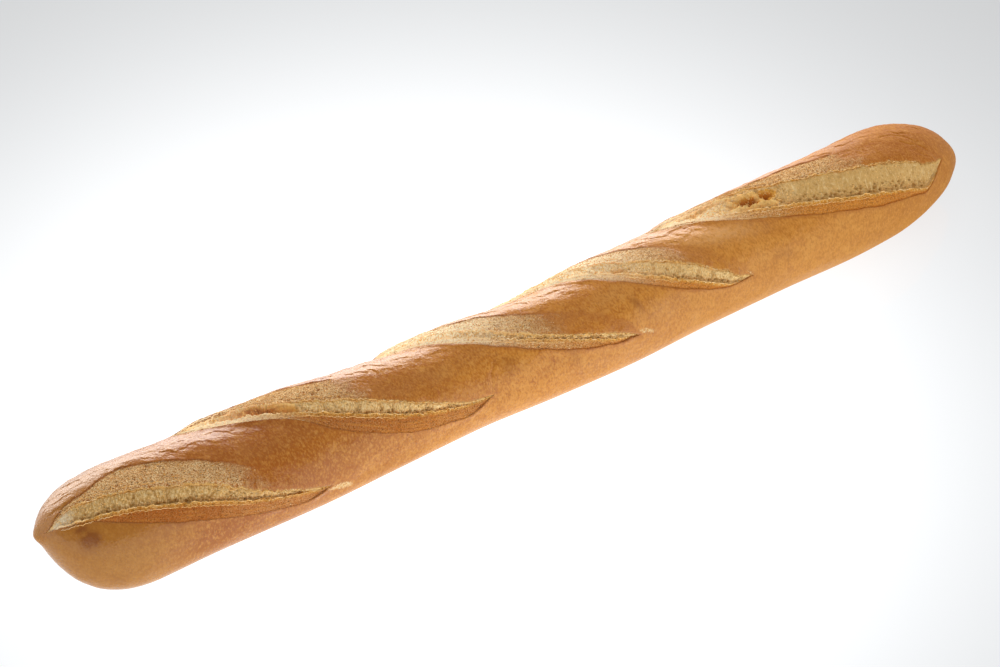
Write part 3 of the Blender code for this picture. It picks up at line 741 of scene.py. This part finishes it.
def build_grains(rings, girth, points, normals):
    """Small torn crumbs and grains, half sunk in the bloom and the open crumb."""
    chance = np.random.default_rng(11)
    co, marks = [], []
    for number, slash in enumerate(SLASHES):
        length, ca, sa = across_line(slash)
        x0, g0 = slash["start"]
        count = int(length * 30)
        run = length * chance.uniform(0.01, 0.97, count)
        level, pick = chance.uniform(0, 1, (2, count))
        along, crumb_width, lower, lip, tear, upper = slash_lines(slash, number, run)
        porous = slash_row(slash, "porous", along, True)
        fade_at, fade_soft = slash["fade"]
        fade = ease((along - fade_at) / fade_soft + 0.5)
        whole = upper - lower
        at = lower + level * whole
        in_bloom, in_crumb = at > tear, (at > lip) & (at <= tear)
        keep = np.where(in_bloom, 0.85 * (1 - fade) ** 2, np.where(in_crumb, 0.9 * porous, 0.6 * np.maximum(porous - 0.3, 0)))
        keep = keep * np.clip(whole / 24.0, 0.2, 1.0) * (in_bloom | (along < 0.85))
        keep = keep * ~(in_bloom & (upper - at < 0.6)) * ~((~in_bloom) & (~in_crumb) & (at - lower < 0.7))
        kept = pick < keep
        run, at, in_crumb, in_bloom = run[kept], at[kept], in_crumb[kept], in_bloom[kept]
        x, g = x0 + run * ca + at * sa, g0 + run * sa - at * ca
        here = on_skin(rings, girth, points, x, g)
        up = unit(on_skin(rings, girth, normals, x, g))
        one = unit(np.cross(up, chance.normal(size=here.shape)))
        other = np.cross(up, one)
        long_ = chance.uniform(0.30, 0.62, len(run))[:, None] * np.where(in_crumb, 1.15, 0.85)[:, None]
        wide = long_ * chance.uniform(0.5, 0.9, (len(run), 1))
        tall = chance.uniform(0.12, 0.34, len(run))[:, None] * np.where(in_crumb, 1.5, 1.0)[:, None]
        skew = 0.4 * wide * chance.uniform(-1, 1, (len(run), 1)) * one
        co.append(np.stack([here + long_ * one, here + wide * other, here - long_ * one, here - wide * other, here + tall * up + skew, here - 0.5 * up], 1))
        hue, pale = chance.uniform(0, 1, (2, len(run)))
        marks.append(np.repeat(np.stack([0.7 + 0.3 * pale, hue, np.where(in_crumb, 1.0, 0.5)], -1)[:, None], 6, 1))
    co, marks = np.concatenate(co), np.concatenate(marks)
    pattern = np.array([(0, 1, 4), (1, 2, 4), (2, 3, 4), (3, 0, 4), (1, 0, 5), (2, 1, 5), (3, 2, 5), (0, 3, 5)])
    tri = (pattern[None] + 6 * np.arange(len(co))[:, None, None]).reshape(-1, 3)
    flat_ = co.reshape(-1, 3)
    a, b, c = (co[:, k] for k in (0, 1, 4))
    if (np.cross(b - a, c - a) * ((a + b + c) / 3 - co.mean(1))).sum() < 0:
        tri = tri[:, ::-1]
    return loose_mesh("bloom_grains", flat_, tri, marks.reshape(-1, 3))


def build_loaf():
    points, marks, rings, girth, normals = skin()
    points = fit_box(points)
    in_order = unrolled(girth, points, normals)
    flakes = build_flakes(rings, *in_order)
    grains = build_grains(rings, *in_order)
    fine = grid_mesh("loaf_fine", points, marks)
    made = thinned(fine, MOST_TRIANGLES / len(fine.polygons))
    made.shade_smooth()
    bpy.data.meshes.remove(fine)
    obj = bpy.data.objects.new("baguette_loaf", made)
    bpy.context.scene.collection.objects.link(obj)
    return obj, flakes, grains


# ============================================================================
# Finish
# ============================================================================
class Graph:
    """Short names for building a node material."""

    def __init__(self, name):
        self.material = bpy.data.materials.new(name)
        self.material.use_nodes = True
        self.tree = self.material.node_tree
        self.tree.nodes.clear()

    def node(self, kind, **settings):
        made = self.tree.nodes.new(kind)
        for key, value in settings.items():
            setattr(made, key, value)
        return made

    def put(self, socket, value):
        if isinstance(value, bpy.types.NodeSocket):
            self.tree.links.new(value, socket)
        else:
            socket.default_value = value

    def math(self, operation, a, b=0.0, c=0.0, clamp=False):
        made = self.node("ShaderNodeMath", operation=operation, use_clamp=clamp)
        for socket, value in zip(made.inputs, (a, b, c)):
            self.put(socket, value)
        return made.outputs[0]

    def add(self, a, b):
        return self.math("ADD", a, b)

    def mul(self, a, b):
        return self.math("MULTIPLY", a, b)

    def sub(self, a, b):
        return self.math("SUBTRACT", a, b)

    def ramp(self, value, low, high, to_low=0.0, to_high=1.0):
        made = self.node("ShaderNodeMapRange", interpolation_type="SMOOTHSTEP", clamp=True)
        for socket, v in zip(made.inputs, (value, low, high, to_low, to_high)):
            self.put(socket, v)
        return made.outputs[0]

    def colour(self, a, b, share, blend="MIX"):
        made = self.node("ShaderNodeMix", data_type="RGBA", blend_type=blend, clamp_factor=True)
        self.put(made.inputs[0], share)
        for socket, v in zip((made.inputs[6], made.inputs[7]), (a, b)):
            self.put(socket, (*v, 1.0) if isinstance(v, tuple) and len(v) == 3 else v)
        return made.outputs[2]

    def attribute(self, name):
        made = self.node("ShaderNodeAttribute", attribute_name=name, attribute_type="GEOMETRY")
        parts = self.node("ShaderNodeSeparateXYZ")
        self.put(parts.inputs[0], made.outputs["Vector"])
        return parts.outputs[0], parts.outputs[1], parts.outputs[2]

    def vector(self, x, y, z=0.0):
        made = self.node("ShaderNodeCombineXYZ")
        for socket, v in zip(made.inputs, (x, y, z)):
            self.put(socket, v)
        return made.outputs[0]

    def scaled(self, vector, scale):
        made = self.node("ShaderNodeVectorMath", operation="MULTIPLY")
        self.put(made.inputs[0], vector)
        self.put(made.inputs[1], scale)
        return made.outputs[0]

    def noise(self, vector, scale, detail=3.0, rough=0.5, distortion=0.0):
        made = self.node("ShaderNodeTexNoise")
        self.put(made.inputs["Vector"], vector)
        made.inputs["Scale"].default_value = scale
        made.inputs["Detail"].default_value = detail
        made.inputs["Roughness"].default_value = rough
        made.inputs["Distortion"].default_value = distortion
        return made.outputs["Fac"]

    def noise_vector(self, vector, scale):
        """A vector about -0.5 to 0.5 that wanders with the place."""
        made = self.node("ShaderNodeTexNoise")
        self.put(made.inputs["Vector"], vector)
        made.inputs["Scale"].default_value = scale
        made.inputs["Detail"].default_value = 2.0
        centred = self.node("ShaderNodeVectorMath", operation="SUBTRACT")
        self.put(centred.inputs[0], made.outputs["Color"])
        centred.inputs[1].default_value = (0.5, 0.5, 0.5)
        return centred.outputs[0]

    def voronoi(self, vector, scale, feature="F1", randomness=1.0):
        made = self.node("ShaderNodeTexVoronoi", feature=feature)
        self.put(made.inputs["Vector"], vector)
        made.inputs["Scale"].default_value = scale
        made.inputs["Randomness"].default_value = randomness
        return made.outputs["Distance"], made.outputs.get("Color")

    def bump(self, height, distance, normal=None):
        made = self.node("ShaderNodeBump")
        made.inputs["Strength"].default_value = 1.0
        made.inputs["Distance"].default_value = distance
        self.put(made.inputs["Height"], height)
        if normal is not None:
            self.put(made.inputs["Normal"], normal)
        return made.outputs[0]


# albedo of each part of the skin, linear
CRUST = (0.655, 0.254, 0.033)
CRUST_DARK = (0.375, 0.100, 0.007)
CRUST_PALE = (0.745, 0.342, 0.068)
CRUST_RED = (0.390, 0.104, 0.014)
BLOOM = (0.960, 0.525, 0.195)
BLOOM_PALE = (1.000, 0.745, 0.405)
BLOOM_BROWN = (0.500, 0.180, 0.038)
CRUMB = (0.740, 0.430, 0.120)
CRUMB_LIGHT = (0.930, 0.600, 0.235)
CRUMB_PALE = (0.980, 0.760, 0.390)
CRUMB_SHADE = (0.480, 0.250, 0.065)
GOLD = (0.800, 0.370, 0.055)
GOLD_PALE = (0.985, 0.610, 0.205)
# START and GLOW: the cream and the emission colour painted at the slashes' starts as light shining through them
START = (0.960, 0.820, 0.590)
GLOW = (1.000, 0.770, 0.450)
LEFT_END_SHADE = (0.425, 0.182, 0.027)
LOW_WARM = (0.780, 0.290, 0.042)
LOW_RED = (0.490, 0.128, 0.014)
SPOT = (0.250, 0.070, 0.012)
# reddish browns used both for toasting and for painted shade in lines, pits and hollows
TOAST_AND_SHADE = (0.560, 0.140, 0.014)
DARK_TOAST_AND_SHADE = (0.300, 0.075, 0.010)


def skin_material():
    g = Graph("baguette_skin")
    outside, past_lip, past_tear = g.attribute("slash_a")
    run, across, fade_plain = g.attribute("slash_b")
    strip, cave, pit = g.attribute("slash_c")
    girth, hook, porous = g.attribute("slash_d")
    crease, from_lower, brown = g.attribute("slash_e")
    spot, tail, gloss = g.attribute("slash_f")
    line, tone, start = g.attribute("slash_g")
    smooth, pale_patches_and_sheen, _ = g.attribute("slash_h")
    uneven = g.sub(1.0, smooth)
    place = g.node("ShaderNodeTexCoord").outputs["Object"]
    parts = g.node("ShaderNodeSeparateXYZ")
    g.put(parts.inputs[0], place)
    height = parts.outputs[2]
    flat = g.vector(run, across)  # millimetres along and across the slash

    # --- masks -----------------------------------------------------------
    speckle = g.add(g.mul(g.sub(g.noise(flat, 0.55, 4.0, 0.65), 0.5), 2.2), fade_plain)
    fade = g.math("MAXIMUM", g.math("MINIMUM", speckle, g.mul(fade_plain, 4.0)), g.math("MULTIPLY_ADD", fade_plain, 2.0, -1.0), clamp=True)
    jag = g.sub(g.noise(flat, 0.9, 3.0, 0.6), 0.5)
    jag_fine = g.sub(g.noise(flat, 2.6, 2.0, 0.6), 0.5)
    edge = g.add(outside, g.add(g.mul(jag, 1.3), g.mul(jag_fine, 0.7)))
    crust_edge = g.ramp(edge, -0.25, 0.25)
    lip_at = g.add(past_lip, g.add(g.mul(jag, 1.6), g.mul(jag_fine, 1.0)))
    tear_at = g.add(past_tear, g.add(g.mul(jag, 2.0), g.mul(jag_fine, 1.2)))
    crumb_mask = g.mul(g.ramp(lip_at, -0.1, 0.35), g.ramp(tear_at, 0.15, -0.3))
    upper_mask = g.ramp(tear_at, -0.15, 0.3)
    as_crust = g.math("MAXIMUM", crust_edge, g.mul(upper_mask, fade))

    # --- crust -----------------------------------------------------------
    broad = g.noise(place, 22.0, 2.0, 0.55)
    cloud = g.noise(place, 70.0, 4.0, 0.62)
    mottle = g.noise(place, 230.0, 4.0, 0.65)
    fleck = g.noise(g.scaled(place, (1.0, 0.55, 0.55)), 1000.0, 2.0, 0.6)
    warped = g.node("ShaderNodeVectorMath", operation="ADD")
    g.put(warped.inputs[0], place)
    g.put(warped.inputs[1], g.scaled(g.noise_vector(place, 90.0), (0.006, 0.006, 0.006)))
    crackle, _ = g.voronoi(warped.outputs[0], 95.0, "DISTANCE_TO_EDGE")
    scratch = g.mul(g.ramp(crackle, 0.045, 0.005), g.ramp(mottle, 0.46, 0.62))
    crust = g.colour(CRUST, CRUST_DARK, g.math("ADD", g.mul(g.ramp(broad, 0.44, 0.70), 0.28), g.mul(brown, 0.95), clamp=True))
    crust = g.colour(crust, CRUST_PALE, g.mul(g.ramp(cloud, 0.50, 0.74), g.sub(0.55, g.mul(brown, 0.40))))
    crust = g.colour(crust, CRUST_DARK, g.mul(g.ramp(cloud, 0.46, 0.26), 0.45))
    crust = g.colour(crust, CRUST_DARK, g.mul(g.ramp(mottle, 0.50, 0.68), 0.50))
    crust = g.colour(crust, CRUST_PALE, g.mul(g.ramp(mottle, 0.47, 0.31), 0.50))
    crust = g.colour(crust, CRUST_PALE, g.mul(g.ramp(fleck, 0.51, 0.62), g.sub(0.50, g.mul(brown, 0.14))))
    crust = g.colour(crust, CRUST_DARK, g.mul(g.ramp(fleck, 0.49, 0.38), 0.46))
    crust = g.colour(crust, CRUST_PALE, g.mul(scratch, 0.14))
    # painted shade: the crust darkens towards the left end, where less light falls
    crust = g.colour(crust, LEFT_END_SHADE, g.ramp(parts.outputs[0], -0.200, -0.262, 0.0, 0.66))
    # paler low on the flanks and at the base: partly thinner crust, partly painted light from the floor
    crust = g.colour(crust, CRUST_PALE, g.mul(g.ramp(height, 0.030, 0.004), 0.35))
    # painted light: paler over the right half of the loaf, more so lower down
    crust = g.colour(crust, CRUST_PALE, g.mul(g.ramp(parts.outputs[0], 0.010, 0.150), g.ramp(height, 0.052, 0.030, 0.12, 0.32)))
    # darker high up: partly browner top crust, partly painted shade
    crust = g.colour(crust, CRUST_DARK, g.ramp(height, 0.036, 0.056, 0.0, 0.22))
    # paler patches, the largest a painted sheen on the crown
    crust = g.colour(crust, BLOOM, g.mul(g.math("MULTIPLY", pale_patches_and_sheen, g.ramp(mottle, 0.40, 0.56, 0.35, 1.0), clamp=True), 0.42))
    # toasted rims beside the slashes, and toasted spots
    rim = g.ramp(outside, 3.0, 0.2)
    crust = g.colour(crust, CRUST_RED, g.mul(g.mul(rim, g.ramp(cloud, 0.25, 0.6)), g.add(0.1, g.mul(line, 0.5))))
    crust = g.colour(crust, SPOT, g.mul(g.math("MULTIPLY", spot, g.ramp(mottle, 0.25, 0.50, 0.5, 1.0), clamp=True), 0.8))

    # --- bloom -----------------------------------------------------------
    grit = g.noise(flat, 1.15, 4.0, 0.7)
    sand = g.noise(g.vector(g.mul(run, 0.62), across), 1.9, 2.0, 0.6)
    grain_d, _ = g.voronoi(flat, 0.95)
    bloom = g.colour(BLOOM, BLOOM_PALE, g.mul(g.ramp(grit, 0.50, 0.60), 0.8))
    bloom = g.colour(bloom, BLOOM_BROWN, g.mul(g.ramp(grit, 0.46, 0.36), 0.85))
    bloom = g.colour(bloom, BLOOM_PALE, g.mul(g.ramp(sand, 0.50, 0.56), 0.90))
    bloom = g.colour(bloom, BLOOM_BROWN, g.mul(g.ramp(sand, 0.48, 0.42), 0.90))
    dots_d, _ = g.voronoi(flat, 0.62)
    dots = g.mul(g.ramp(dots_d, 0.28, 0.14), g.ramp(grit, 0.60, 0.45))
    bloom = g.colour(bloom, DARK_TOAST_AND_SHADE, g.mul(dots, 0.75))
    bloom = g.colour(bloom, GOLD_PALE, g.mul(g.ramp(strip, 0.25, 0.8), 0.55))
    # painted shade in the bloom's holes
    bloom = g.colour(bloom, TOAST_AND_SHADE, g.mul(pit, 0.7))
    # the field browns towards the crust's edge behind it
    patch = g.noise(flat, 0.22, 2.0, 0.5)
    bloom = g.colour(bloom, crust, g.ramp(patch, 0.46, 0.70, 0.0, 0.35))
    warm = g.ramp(parts.outputs[0], -0.150, 0.080)
    low_bloom = g.colour(LOW_RED, LOW_WARM, g.math("MULTIPLY_ADD", warm, 0.8, g.ramp(strip, 0.1, 0.7, 0.0, 0.45), clamp=True))
    low_bloom = g.colour(low_bloom, BLOOM, g.mul(g.ramp(sand, 0.54, 0.62), g.add(0.18, g.mul(warm, 0.25))))
    low_bloom = g.colour(low_bloom, CRUST_RED, g.mul(g.ramp(grit, 0.50, 0.62), 0.65))
    low_bloom = g.colour(low_bloom, CRUST_RED, g.mul(hook, 0.45))
    low_bloom = g.colour(low_bloom, bloom, g.mul(porous, 0.55))
    faded_bloom = g.colour(crust, CRUST_PALE, g.mul(g.ramp(grit, 0.48, 0.66), 0.45))
    faded_bloom = g.colour(faded_bloom, CRUST_DARK, g.mul(dots, 0.4))

    # --- crumb -----------------------------------------------------------
    streak_vector = g.vector(run, g.mul(across, 0.42))
    streak = g.noise(streak_vector, 0.50, 4.0, 0.62, 0.8)
    streak_fine = g.noise(g.vector(run, g.mul(across, 0.38)), 1.5, 2.0, 0.6)
    crumb = g.colour(g.colour(CRUMB, CRUMB_SHADE, 0.50), CRUMB_LIGHT, tone)
    crumb = g.colour(crumb, CRUMB_PALE, g.mul(g.ramp(streak, 0.50, 0.70), 0.6))
    crumb = g.colour(crumb, CRUMB_SHADE, g.mul(g.ramp(streak, 0.46, 0.30), 0.5))
    crumb = g.colour(crumb, CRUMB_PALE, g.mul(g.ramp(streak_fine, 0.51, 0.59), g.mul(uneven, 0.75)))
    crumb = g.colour(crumb, CRUMB_SHADE, g.mul(g.ramp(streak_fine, 0.48, 0.40), g.mul(uneven, 0.75)))
    crumb = g.colour(crumb, BLOOM, g.mul(porous, 0.45))
    crumb = g.colour(crumb, START, g.mul(g.mul(porous, g.ramp(grit, 0.50, 0.58)), 0.75))
    crumb = g.colour(crumb, BLOOM_BROWN, g.mul(g.mul(porous, g.ramp(grit, 0.46, 0.37)), 0.85))
    crumb = g.colour(crumb, GOLD_PALE, g.mul(g.mul(porous, g.ramp(sand, 0.52, 0.58)), 0.8))
    crumb = g.colour(crumb, GOLD_PALE, g.mul(g.ramp(tear_at, -2.0, -0.2), 0.5))
    # painted shade in the creases between the lobes and in the pits
    crumb = g.colour(crumb, CRUMB_SHADE, g.mul(crease, 0.50))
    crumb = g.colour(crumb, CRUMB_SHADE, g.mul(pit, 0.75))
    crumb = g.colour(crumb, GOLD, g.mul(g.ramp(cave, 0.3, 1.2), 0.88))
    # painted shade deep in the hollows
    crumb = g.colour(crumb, TOAST_AND_SHADE, g.mul(g.ramp(cave, 2.0, 3.8), 0.70))
    crumb = g.colour(crumb, GOLD_PALE, g.mul(g.ramp(strip, 0.2, 0.9), 0.9))

    # --- put together ----------------------------------------------------
    skin_ = g.colour(low_bloom, crumb, crumb_mask)
    upper = g.colour(bloom, faded_bloom, fade)
    skin_ = g.colour(skin_, upper, upper_mask)
    lip_line = g.mul(g.ramp(lip_at, -1.5, -0.25), g.ramp(lip_at, 0.55, 0.0))
    skin_ = g.colour(skin_, g.colour(GOLD, GOLD_PALE, g.ramp(jag, -0.04, 0.10)), g.mul(lip_line, g.sub(0.9, g.math("MAXIMUM", g.mul(hook, 0.5), g.mul(porous, 0.45)))))
    # reddish line in front of the lip: partly toasting, partly painted shade where the lip hides the back light
    lip_front_toast_and_shade = g.mul(g.ramp(lip_at, -3.0, -1.2), g.ramp(lip_at, -0.4, -1.0))
    skin_ = g.colour(skin_, TOAST_AND_SHADE, g.mul(g.mul(lip_front_toast_and_shade, g.ramp(jag, -0.06, 0.10)), g.sub(0.55, g.mul(porous, 0.4))))
    tear_line = g.mul(g.ramp(tear_at, -0.8, -0.1), g.ramp(tear_at, 0.8, 0.15))
    skin_ = g.colour(skin_, g.colour(GOLD_PALE, GOLD, g.ramp(jag, -0.04, 0.12)), g.mul(g.mul(tear_line, g.sub(1.0, g.mul(fade, 0.6))), 0.9))
    tear_shade = g.mul(g.ramp(tear_at, 0.6, 1.1), g.ramp(tear_at, 2.0, 1.2))
    skin_ = g.colour(skin_, TOAST_AND_SHADE, g.mul(g.mul(tear_shade, g.ramp(jag, -0.02, 0.10)), g.sub(0.6, g.mul(fade, 0.5))))
    # painted backlight: each slash's start is paled towards cream
    skin_ = g.colour(skin_, START, g.mul(g.ramp(start, 0.0, 0.75), g.ramp(grit, 0.40, 0.52, 0.45, 0.92)))
    skin_ = g.colour(skin_, crust, crust_edge)
    # reddish line just inside the crust's edges: partly toasting, partly painted shade under the edges
    under_edge = g.mul(g.ramp(edge, -1.3, -0.10), g.ramp(edge, 0.55, -0.05))
    edge_toast_and_shade = g.mul(g.sub(1.0, g.mul(g.mul(start, start), 0.75)), g.mul(under_edge, g.ramp(cloud, 0.30, 0.50, 0.35, 1.0)))
    strength = g.node("ShaderNodeMix", data_type="FLOAT")
    g.put(strength.inputs[0], upper_mask)
    g.put(strength.inputs[2], line)
    g.put(strength.inputs[3], g.mul(g.sub(1.0, fade), 0.75))
    skin_ = g.colour(skin_, TOAST_AND_SHADE, g.mul(edge_toast_and_shade, strength.outputs[0]))
    # painted shadow: a dark crescent under the crust where it laps over the slash's front end
    skin_ = g.colour(skin_, DARK_TOAST_AND_SHADE, g.mul(g.mul(edge_toast_and_shade, hook), g.sub(0.30, g.mul(upper_mask, 0.30))))
    # pale flecks past the front end, where the blade only scraped the skin
    scraped = g.mul(g.ramp(g.mul(tail, g.add(0.75, g.add(g.mul(jag, 3.0), g.mul(jag_fine, 2.5)))), 0.35, 0.65), crust_edge)
    skin_ = g.colour(skin_, g.colour(CRUMB_PALE, GOLD, g.ramp(sand, 0.50, 0.58)), g.mul(scraped, 0.75))

    # --- relief finer than the mesh --------------------------------------
    crust_bump = g.add(g.mul(mottle, 0.55), g.mul(g.noise(place, 900.0, 2.0, 0.5), 0.42))
    slash_bump = g.add(g.mul(grit, 1.9), g.add(g.mul(sand, 0.6), g.mul(g.ramp(grain_d, 0.0, 0.6), 0.6)))
    slash_bump = g.sub(slash_bump, g.mul(dots, 0.9))
    crumb_bump = g.add(g.mul(streak, 0.9), g.add(g.mul(streak_fine, 1.3), g.mul(g.mul(grit, porous), 1.2)))
    rough_bump = g.node("ShaderNodeMix", data_type="FLOAT")
    g.put(rough_bump.inputs[0], crumb_mask)
    g.put(rough_bump.inputs[2], slash_bump)
    g.put(rough_bump.inputs[3], crumb_bump)
    all_bump = g.node("ShaderNodeMix", data_type="FLOAT")
    g.put(all_bump.inputs[0], as_crust)
    g.put(all_bump.inputs[2], rough_bump.outputs[0])
    g.put(all_bump.inputs[3], crust_bump)
    normal = g.bump(all_bump.outputs[0], 0.00050)

    shader = g.node("ShaderNodeBsdfPrincipled")
    g.put(shader.inputs["Base Color"], skin_)
    rough = g.node("ShaderNodeMix", data_type="FLOAT")
    g.put(rough.inputs[0], as_crust)
    rough.inputs[2].default_value = 0.85
    g.put(rough.inputs[3], g.math("ADD", g.ramp(cloud, 0.3, 0.7, 0.20, 0.30), g.math("MULTIPLY_ADD", gloss, -0.40, 0.40)))
    g.put(shader.inputs["Roughness"], rough.outputs[0])
    shine = g.mul(g.math("MULTIPLY_ADD", gloss, 0.28, 0.12), g.ramp(height, 0.004, 0.034, 0.35, 1.0))
    g.put(shader.inputs["Specular IOR Level"], g.mul(shine, g.add(0.12, g.mul(as_crust, 0.88))))
    g.put(shader.inputs["Normal"], normal)
    # painted glow: emission at each slash's start stands in for light shining through the thin cream crumb
    shader.inputs["Emission Color"].default_value = (*GLOW, 1.0)
    glow = g.mul(g.mul(start, g.ramp(grit, 0.38, 0.54, 0.6, 1.1)), g.math("SUBTRACT", 1.0, crust_edge, clamp=True))
    g.put(shader.inputs["Emission Strength"], g.mul(g.mul(glow, g.ramp(parts.outputs[0], -0.240, -0.190)), 0.46))
    output = g.node("ShaderNodeOutputMaterial")
    g.put(output.inputs["Surface"], shader.outputs[0])
    return g.material


def flake_material():
    g = Graph("baguette_flake")
    place = g.node("ShaderNodeTexCoord").outputs["Object"]
    cloud = g.noise(place, 160.0, 3.0, 0.6)
    fine = g.noise(place, 900.0, 3.0, 0.6)
    tip, hue, kind = g.attribute("flake")
    tint = g.colour(GOLD, GOLD_PALE, g.ramp(tip, 0.2, 0.9))
    tint = g.colour(tint, BLOOM_PALE, g.mul(g.ramp(cloud, 0.50, 0.62), 0.6))
    tint = g.colour(tint, START, g.mul(g.ramp(fine, 0.54, 0.66), 0.5))
    tint = g.colour(tint, GOLD, g.mul(g.ramp(fine, 0.46, 0.36), 0.6))
    # painted backlight: flakes near a slash's start are paled towards cream
    tint = g.colour(tint, START, g.mul(hue, 0.75))
    grain = g.colour(BLOOM, BLOOM_PALE, g.ramp(hue, 0.35, 0.60))
    grain = g.colour(grain, GOLD, g.ramp(hue, 0.62, 0.80))
    grain = g.colour(grain, BLOOM_BROWN, g.ramp(hue, 0.30, 0.10, 0.0, 0.9))
    loose = g.colour(CRUMB_LIGHT, GOLD_PALE, g.ramp(hue, 0.30, 0.70))
    grain = g.colour(grain, loose, g.ramp(kind, 0.6, 0.9))
    tint = g.colour(tint, grain, g.ramp(kind, 0.1, 0.4))
    shader = g.node("ShaderNodeBsdfPrincipled")
    g.put(shader.inputs["Base Color"], tint)
    shader.inputs["Roughness"].default_value = 0.6
    shader.inputs["Specular IOR Level"].default_value = 0.15
    parts = g.node("ShaderNodeSeparateXYZ")
    g.put(parts.inputs[0], place)
    # painted glow: flakes near a slash's start glow as if lit through
    shader.inputs["Emission Color"].default_value = (*GLOW, 1.0)
    glow = g.mul(g.mul(hue, g.ramp(kind, 0.4, 0.1)), g.ramp(parts.outputs[0], -0.240, -0.190))
    g.put(shader.inputs["Emission Strength"], g.mul(glow, 0.42))
    g.put(shader.inputs["Normal"], g.bump(fine, 0.0003))
    output = g.node("ShaderNodeOutputMaterial")
    g.put(output.inputs["Surface"], shader.outputs[0])
    return g.material


def floor_material():
    g = Graph("studio_floor")
    place = g.node("ShaderNodeTexCoord").outputs["Object"]
    length = g.node("ShaderNodeVectorMath", operation="LENGTH")
    offset = g.node("ShaderNodeVectorMath", operation="SUBTRACT")
    g.put(offset.inputs[0], place)
    offset.inputs[1].default_value = (-0.06, 0.0, 0.0)
    g.put(length.inputs[0], offset.outputs[0])
    distance = length.outputs["Value"]
    # painted pool of light: the floor glows brighter round the loaf
    light_pool = g.math("EXPONENT", g.mul(g.mul(distance, distance), -1 / 0.30**2))
    shader = g.node("ShaderNodeBsdfPrincipled")
    shader.inputs["Base Color"].default_value = (0.12, 0.12, 0.12, 1.0)
    shader.inputs["Roughness"].default_value = 0.10
    shader.inputs["Specular IOR Level"].default_value = 0.5
    shader.inputs["Emission Color"].default_value = (0.97, 0.985, 1.0, 1.0)
    g.put(shader.inputs["Emission Strength"], g.math("MULTIPLY_ADD", light_pool, 0.95, 0.48))
    output = g.node("ShaderNodeOutputMaterial")
    g.put(output.inputs["Surface"], shader.outputs[0])
    return g.material


# ============================================================================
# Stage, light and camera
# ============================================================================
FORWARD = Vector((0.561, 0.828, 0.0))  # level, from the camera's side to the far side
LEFT = Vector((-0.828, 0.561, 0.0))


def studio():
    size = 6.0
    mesh = bpy.data.meshes.new("floor")
    mesh.from_pydata([(-size, -size, 0), (size, -size, 0), (size, size, 0), (-size, size, 0)], [], [(0, 1, 2, 3)])
    mesh.materials.append(floor_material())
    floor = bpy.data.objects.new("floor", mesh)
    floor.location = (0, 0, -0.0005)
    bpy.context.scene.collection.objects.link(floor)

    # a pale room, dimmer overhead
    world = bpy.data.worlds.new("studio")
    bpy.context.scene.world = world
    world.use_nodes = True
    tree = world.node_tree
    back = tree.nodes["Background"]
    way = tree.nodes.new("ShaderNodeTexCoord")
    parts = tree.nodes.new("ShaderNodeSeparateXYZ")
    tree.links.new(way.outputs["Generated"], parts.inputs[0])
    grade = tree.nodes.new("ShaderNodeMapRange")
    grade.interpolation_type = "SMOOTHSTEP"
    for socket, value in zip(grade.inputs[1:5], (0.24, 0.62, 1.55, 0.22)):
        socket.default_value = value
    tree.links.new(parts.outputs[2], grade.inputs[0])
    tree.links.new(grade.outputs[0], back.inputs["Strength"])
    back.inputs["Color"].default_value = (0.96, 0.98, 1.0, 1.0)

    def area(name, place, aim, width, height, power, tint=(1, 1, 1)):
        light = bpy.data.lights.new(name, "AREA")
        light.shape = "RECTANGLE"
        light.size, light.size_y = width, height
        light.energy = power
        light.color = tint
        obj = bpy.data.objects.new(name, light)
        obj.location = place
        obj.rotation_mode = "QUATERNION"
        obj.rotation_quaternion = (Vector(aim) - Vector(place)).to_track_quat("-Z", "Y")
        obj.visible_camera = False
        bpy.context.scene.collection.objects.link(obj)
        return obj

    area("back_light", FORWARD * 1.5 + LEFT * 0.55 + Vector((0, 0, 0.32)), (0, 0, 0.03), 2.4, 0.55, 23.0, (1.0, 0.95, 0.86))
    top = area("top_light", Vector((0.24, 0.06, 0.95)), (0.16, 0, 0), 0.9, 0.9, 3.3)
    top.visible_glossy = False


def camera():
    data = bpy.data.cameras.new("camera")
    data.sensor_width = 36.0
    data.lens = 115.2
    data.clip_start, data.clip_end = 0.05, 50.0
    obj = bpy.data.objects.new("camera", data)
    azimuth, elevation, away = math.radians(-34.1), math.radians(43.0), 1.740
    back = Vector((math.sin(azimuth) * math.cos(elevation), -math.cos(azimuth) * math.cos(elevation), math.sin(elevation)))
    obj.location = Vector((0.0070, 0.0362, 0.0)) + back * away
    obj.rotation_mode = "QUATERNION"
    obj.rotation_quaternion = (-back).to_track_quat("-Z", "Y")
    bpy.context.scene.collection.objects.link(obj)
    bpy.context.scene.camera = obj


loaf, flakes, grains = build_loaf()
loaf.data.materials.clear()
loaf.data.materials.append(skin_material())
torn = flake_material()
flakes.data.materials.append(torn)
grains.data.materials.append(torn)
for piece in (loaf, flakes, grains):
    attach(piece, "root")
    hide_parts("loaf")
studio()
camera()
bpy.context.scene.view_settings.view_transform = "Standard"
bpy.context.scene.view_settings.look = "None"
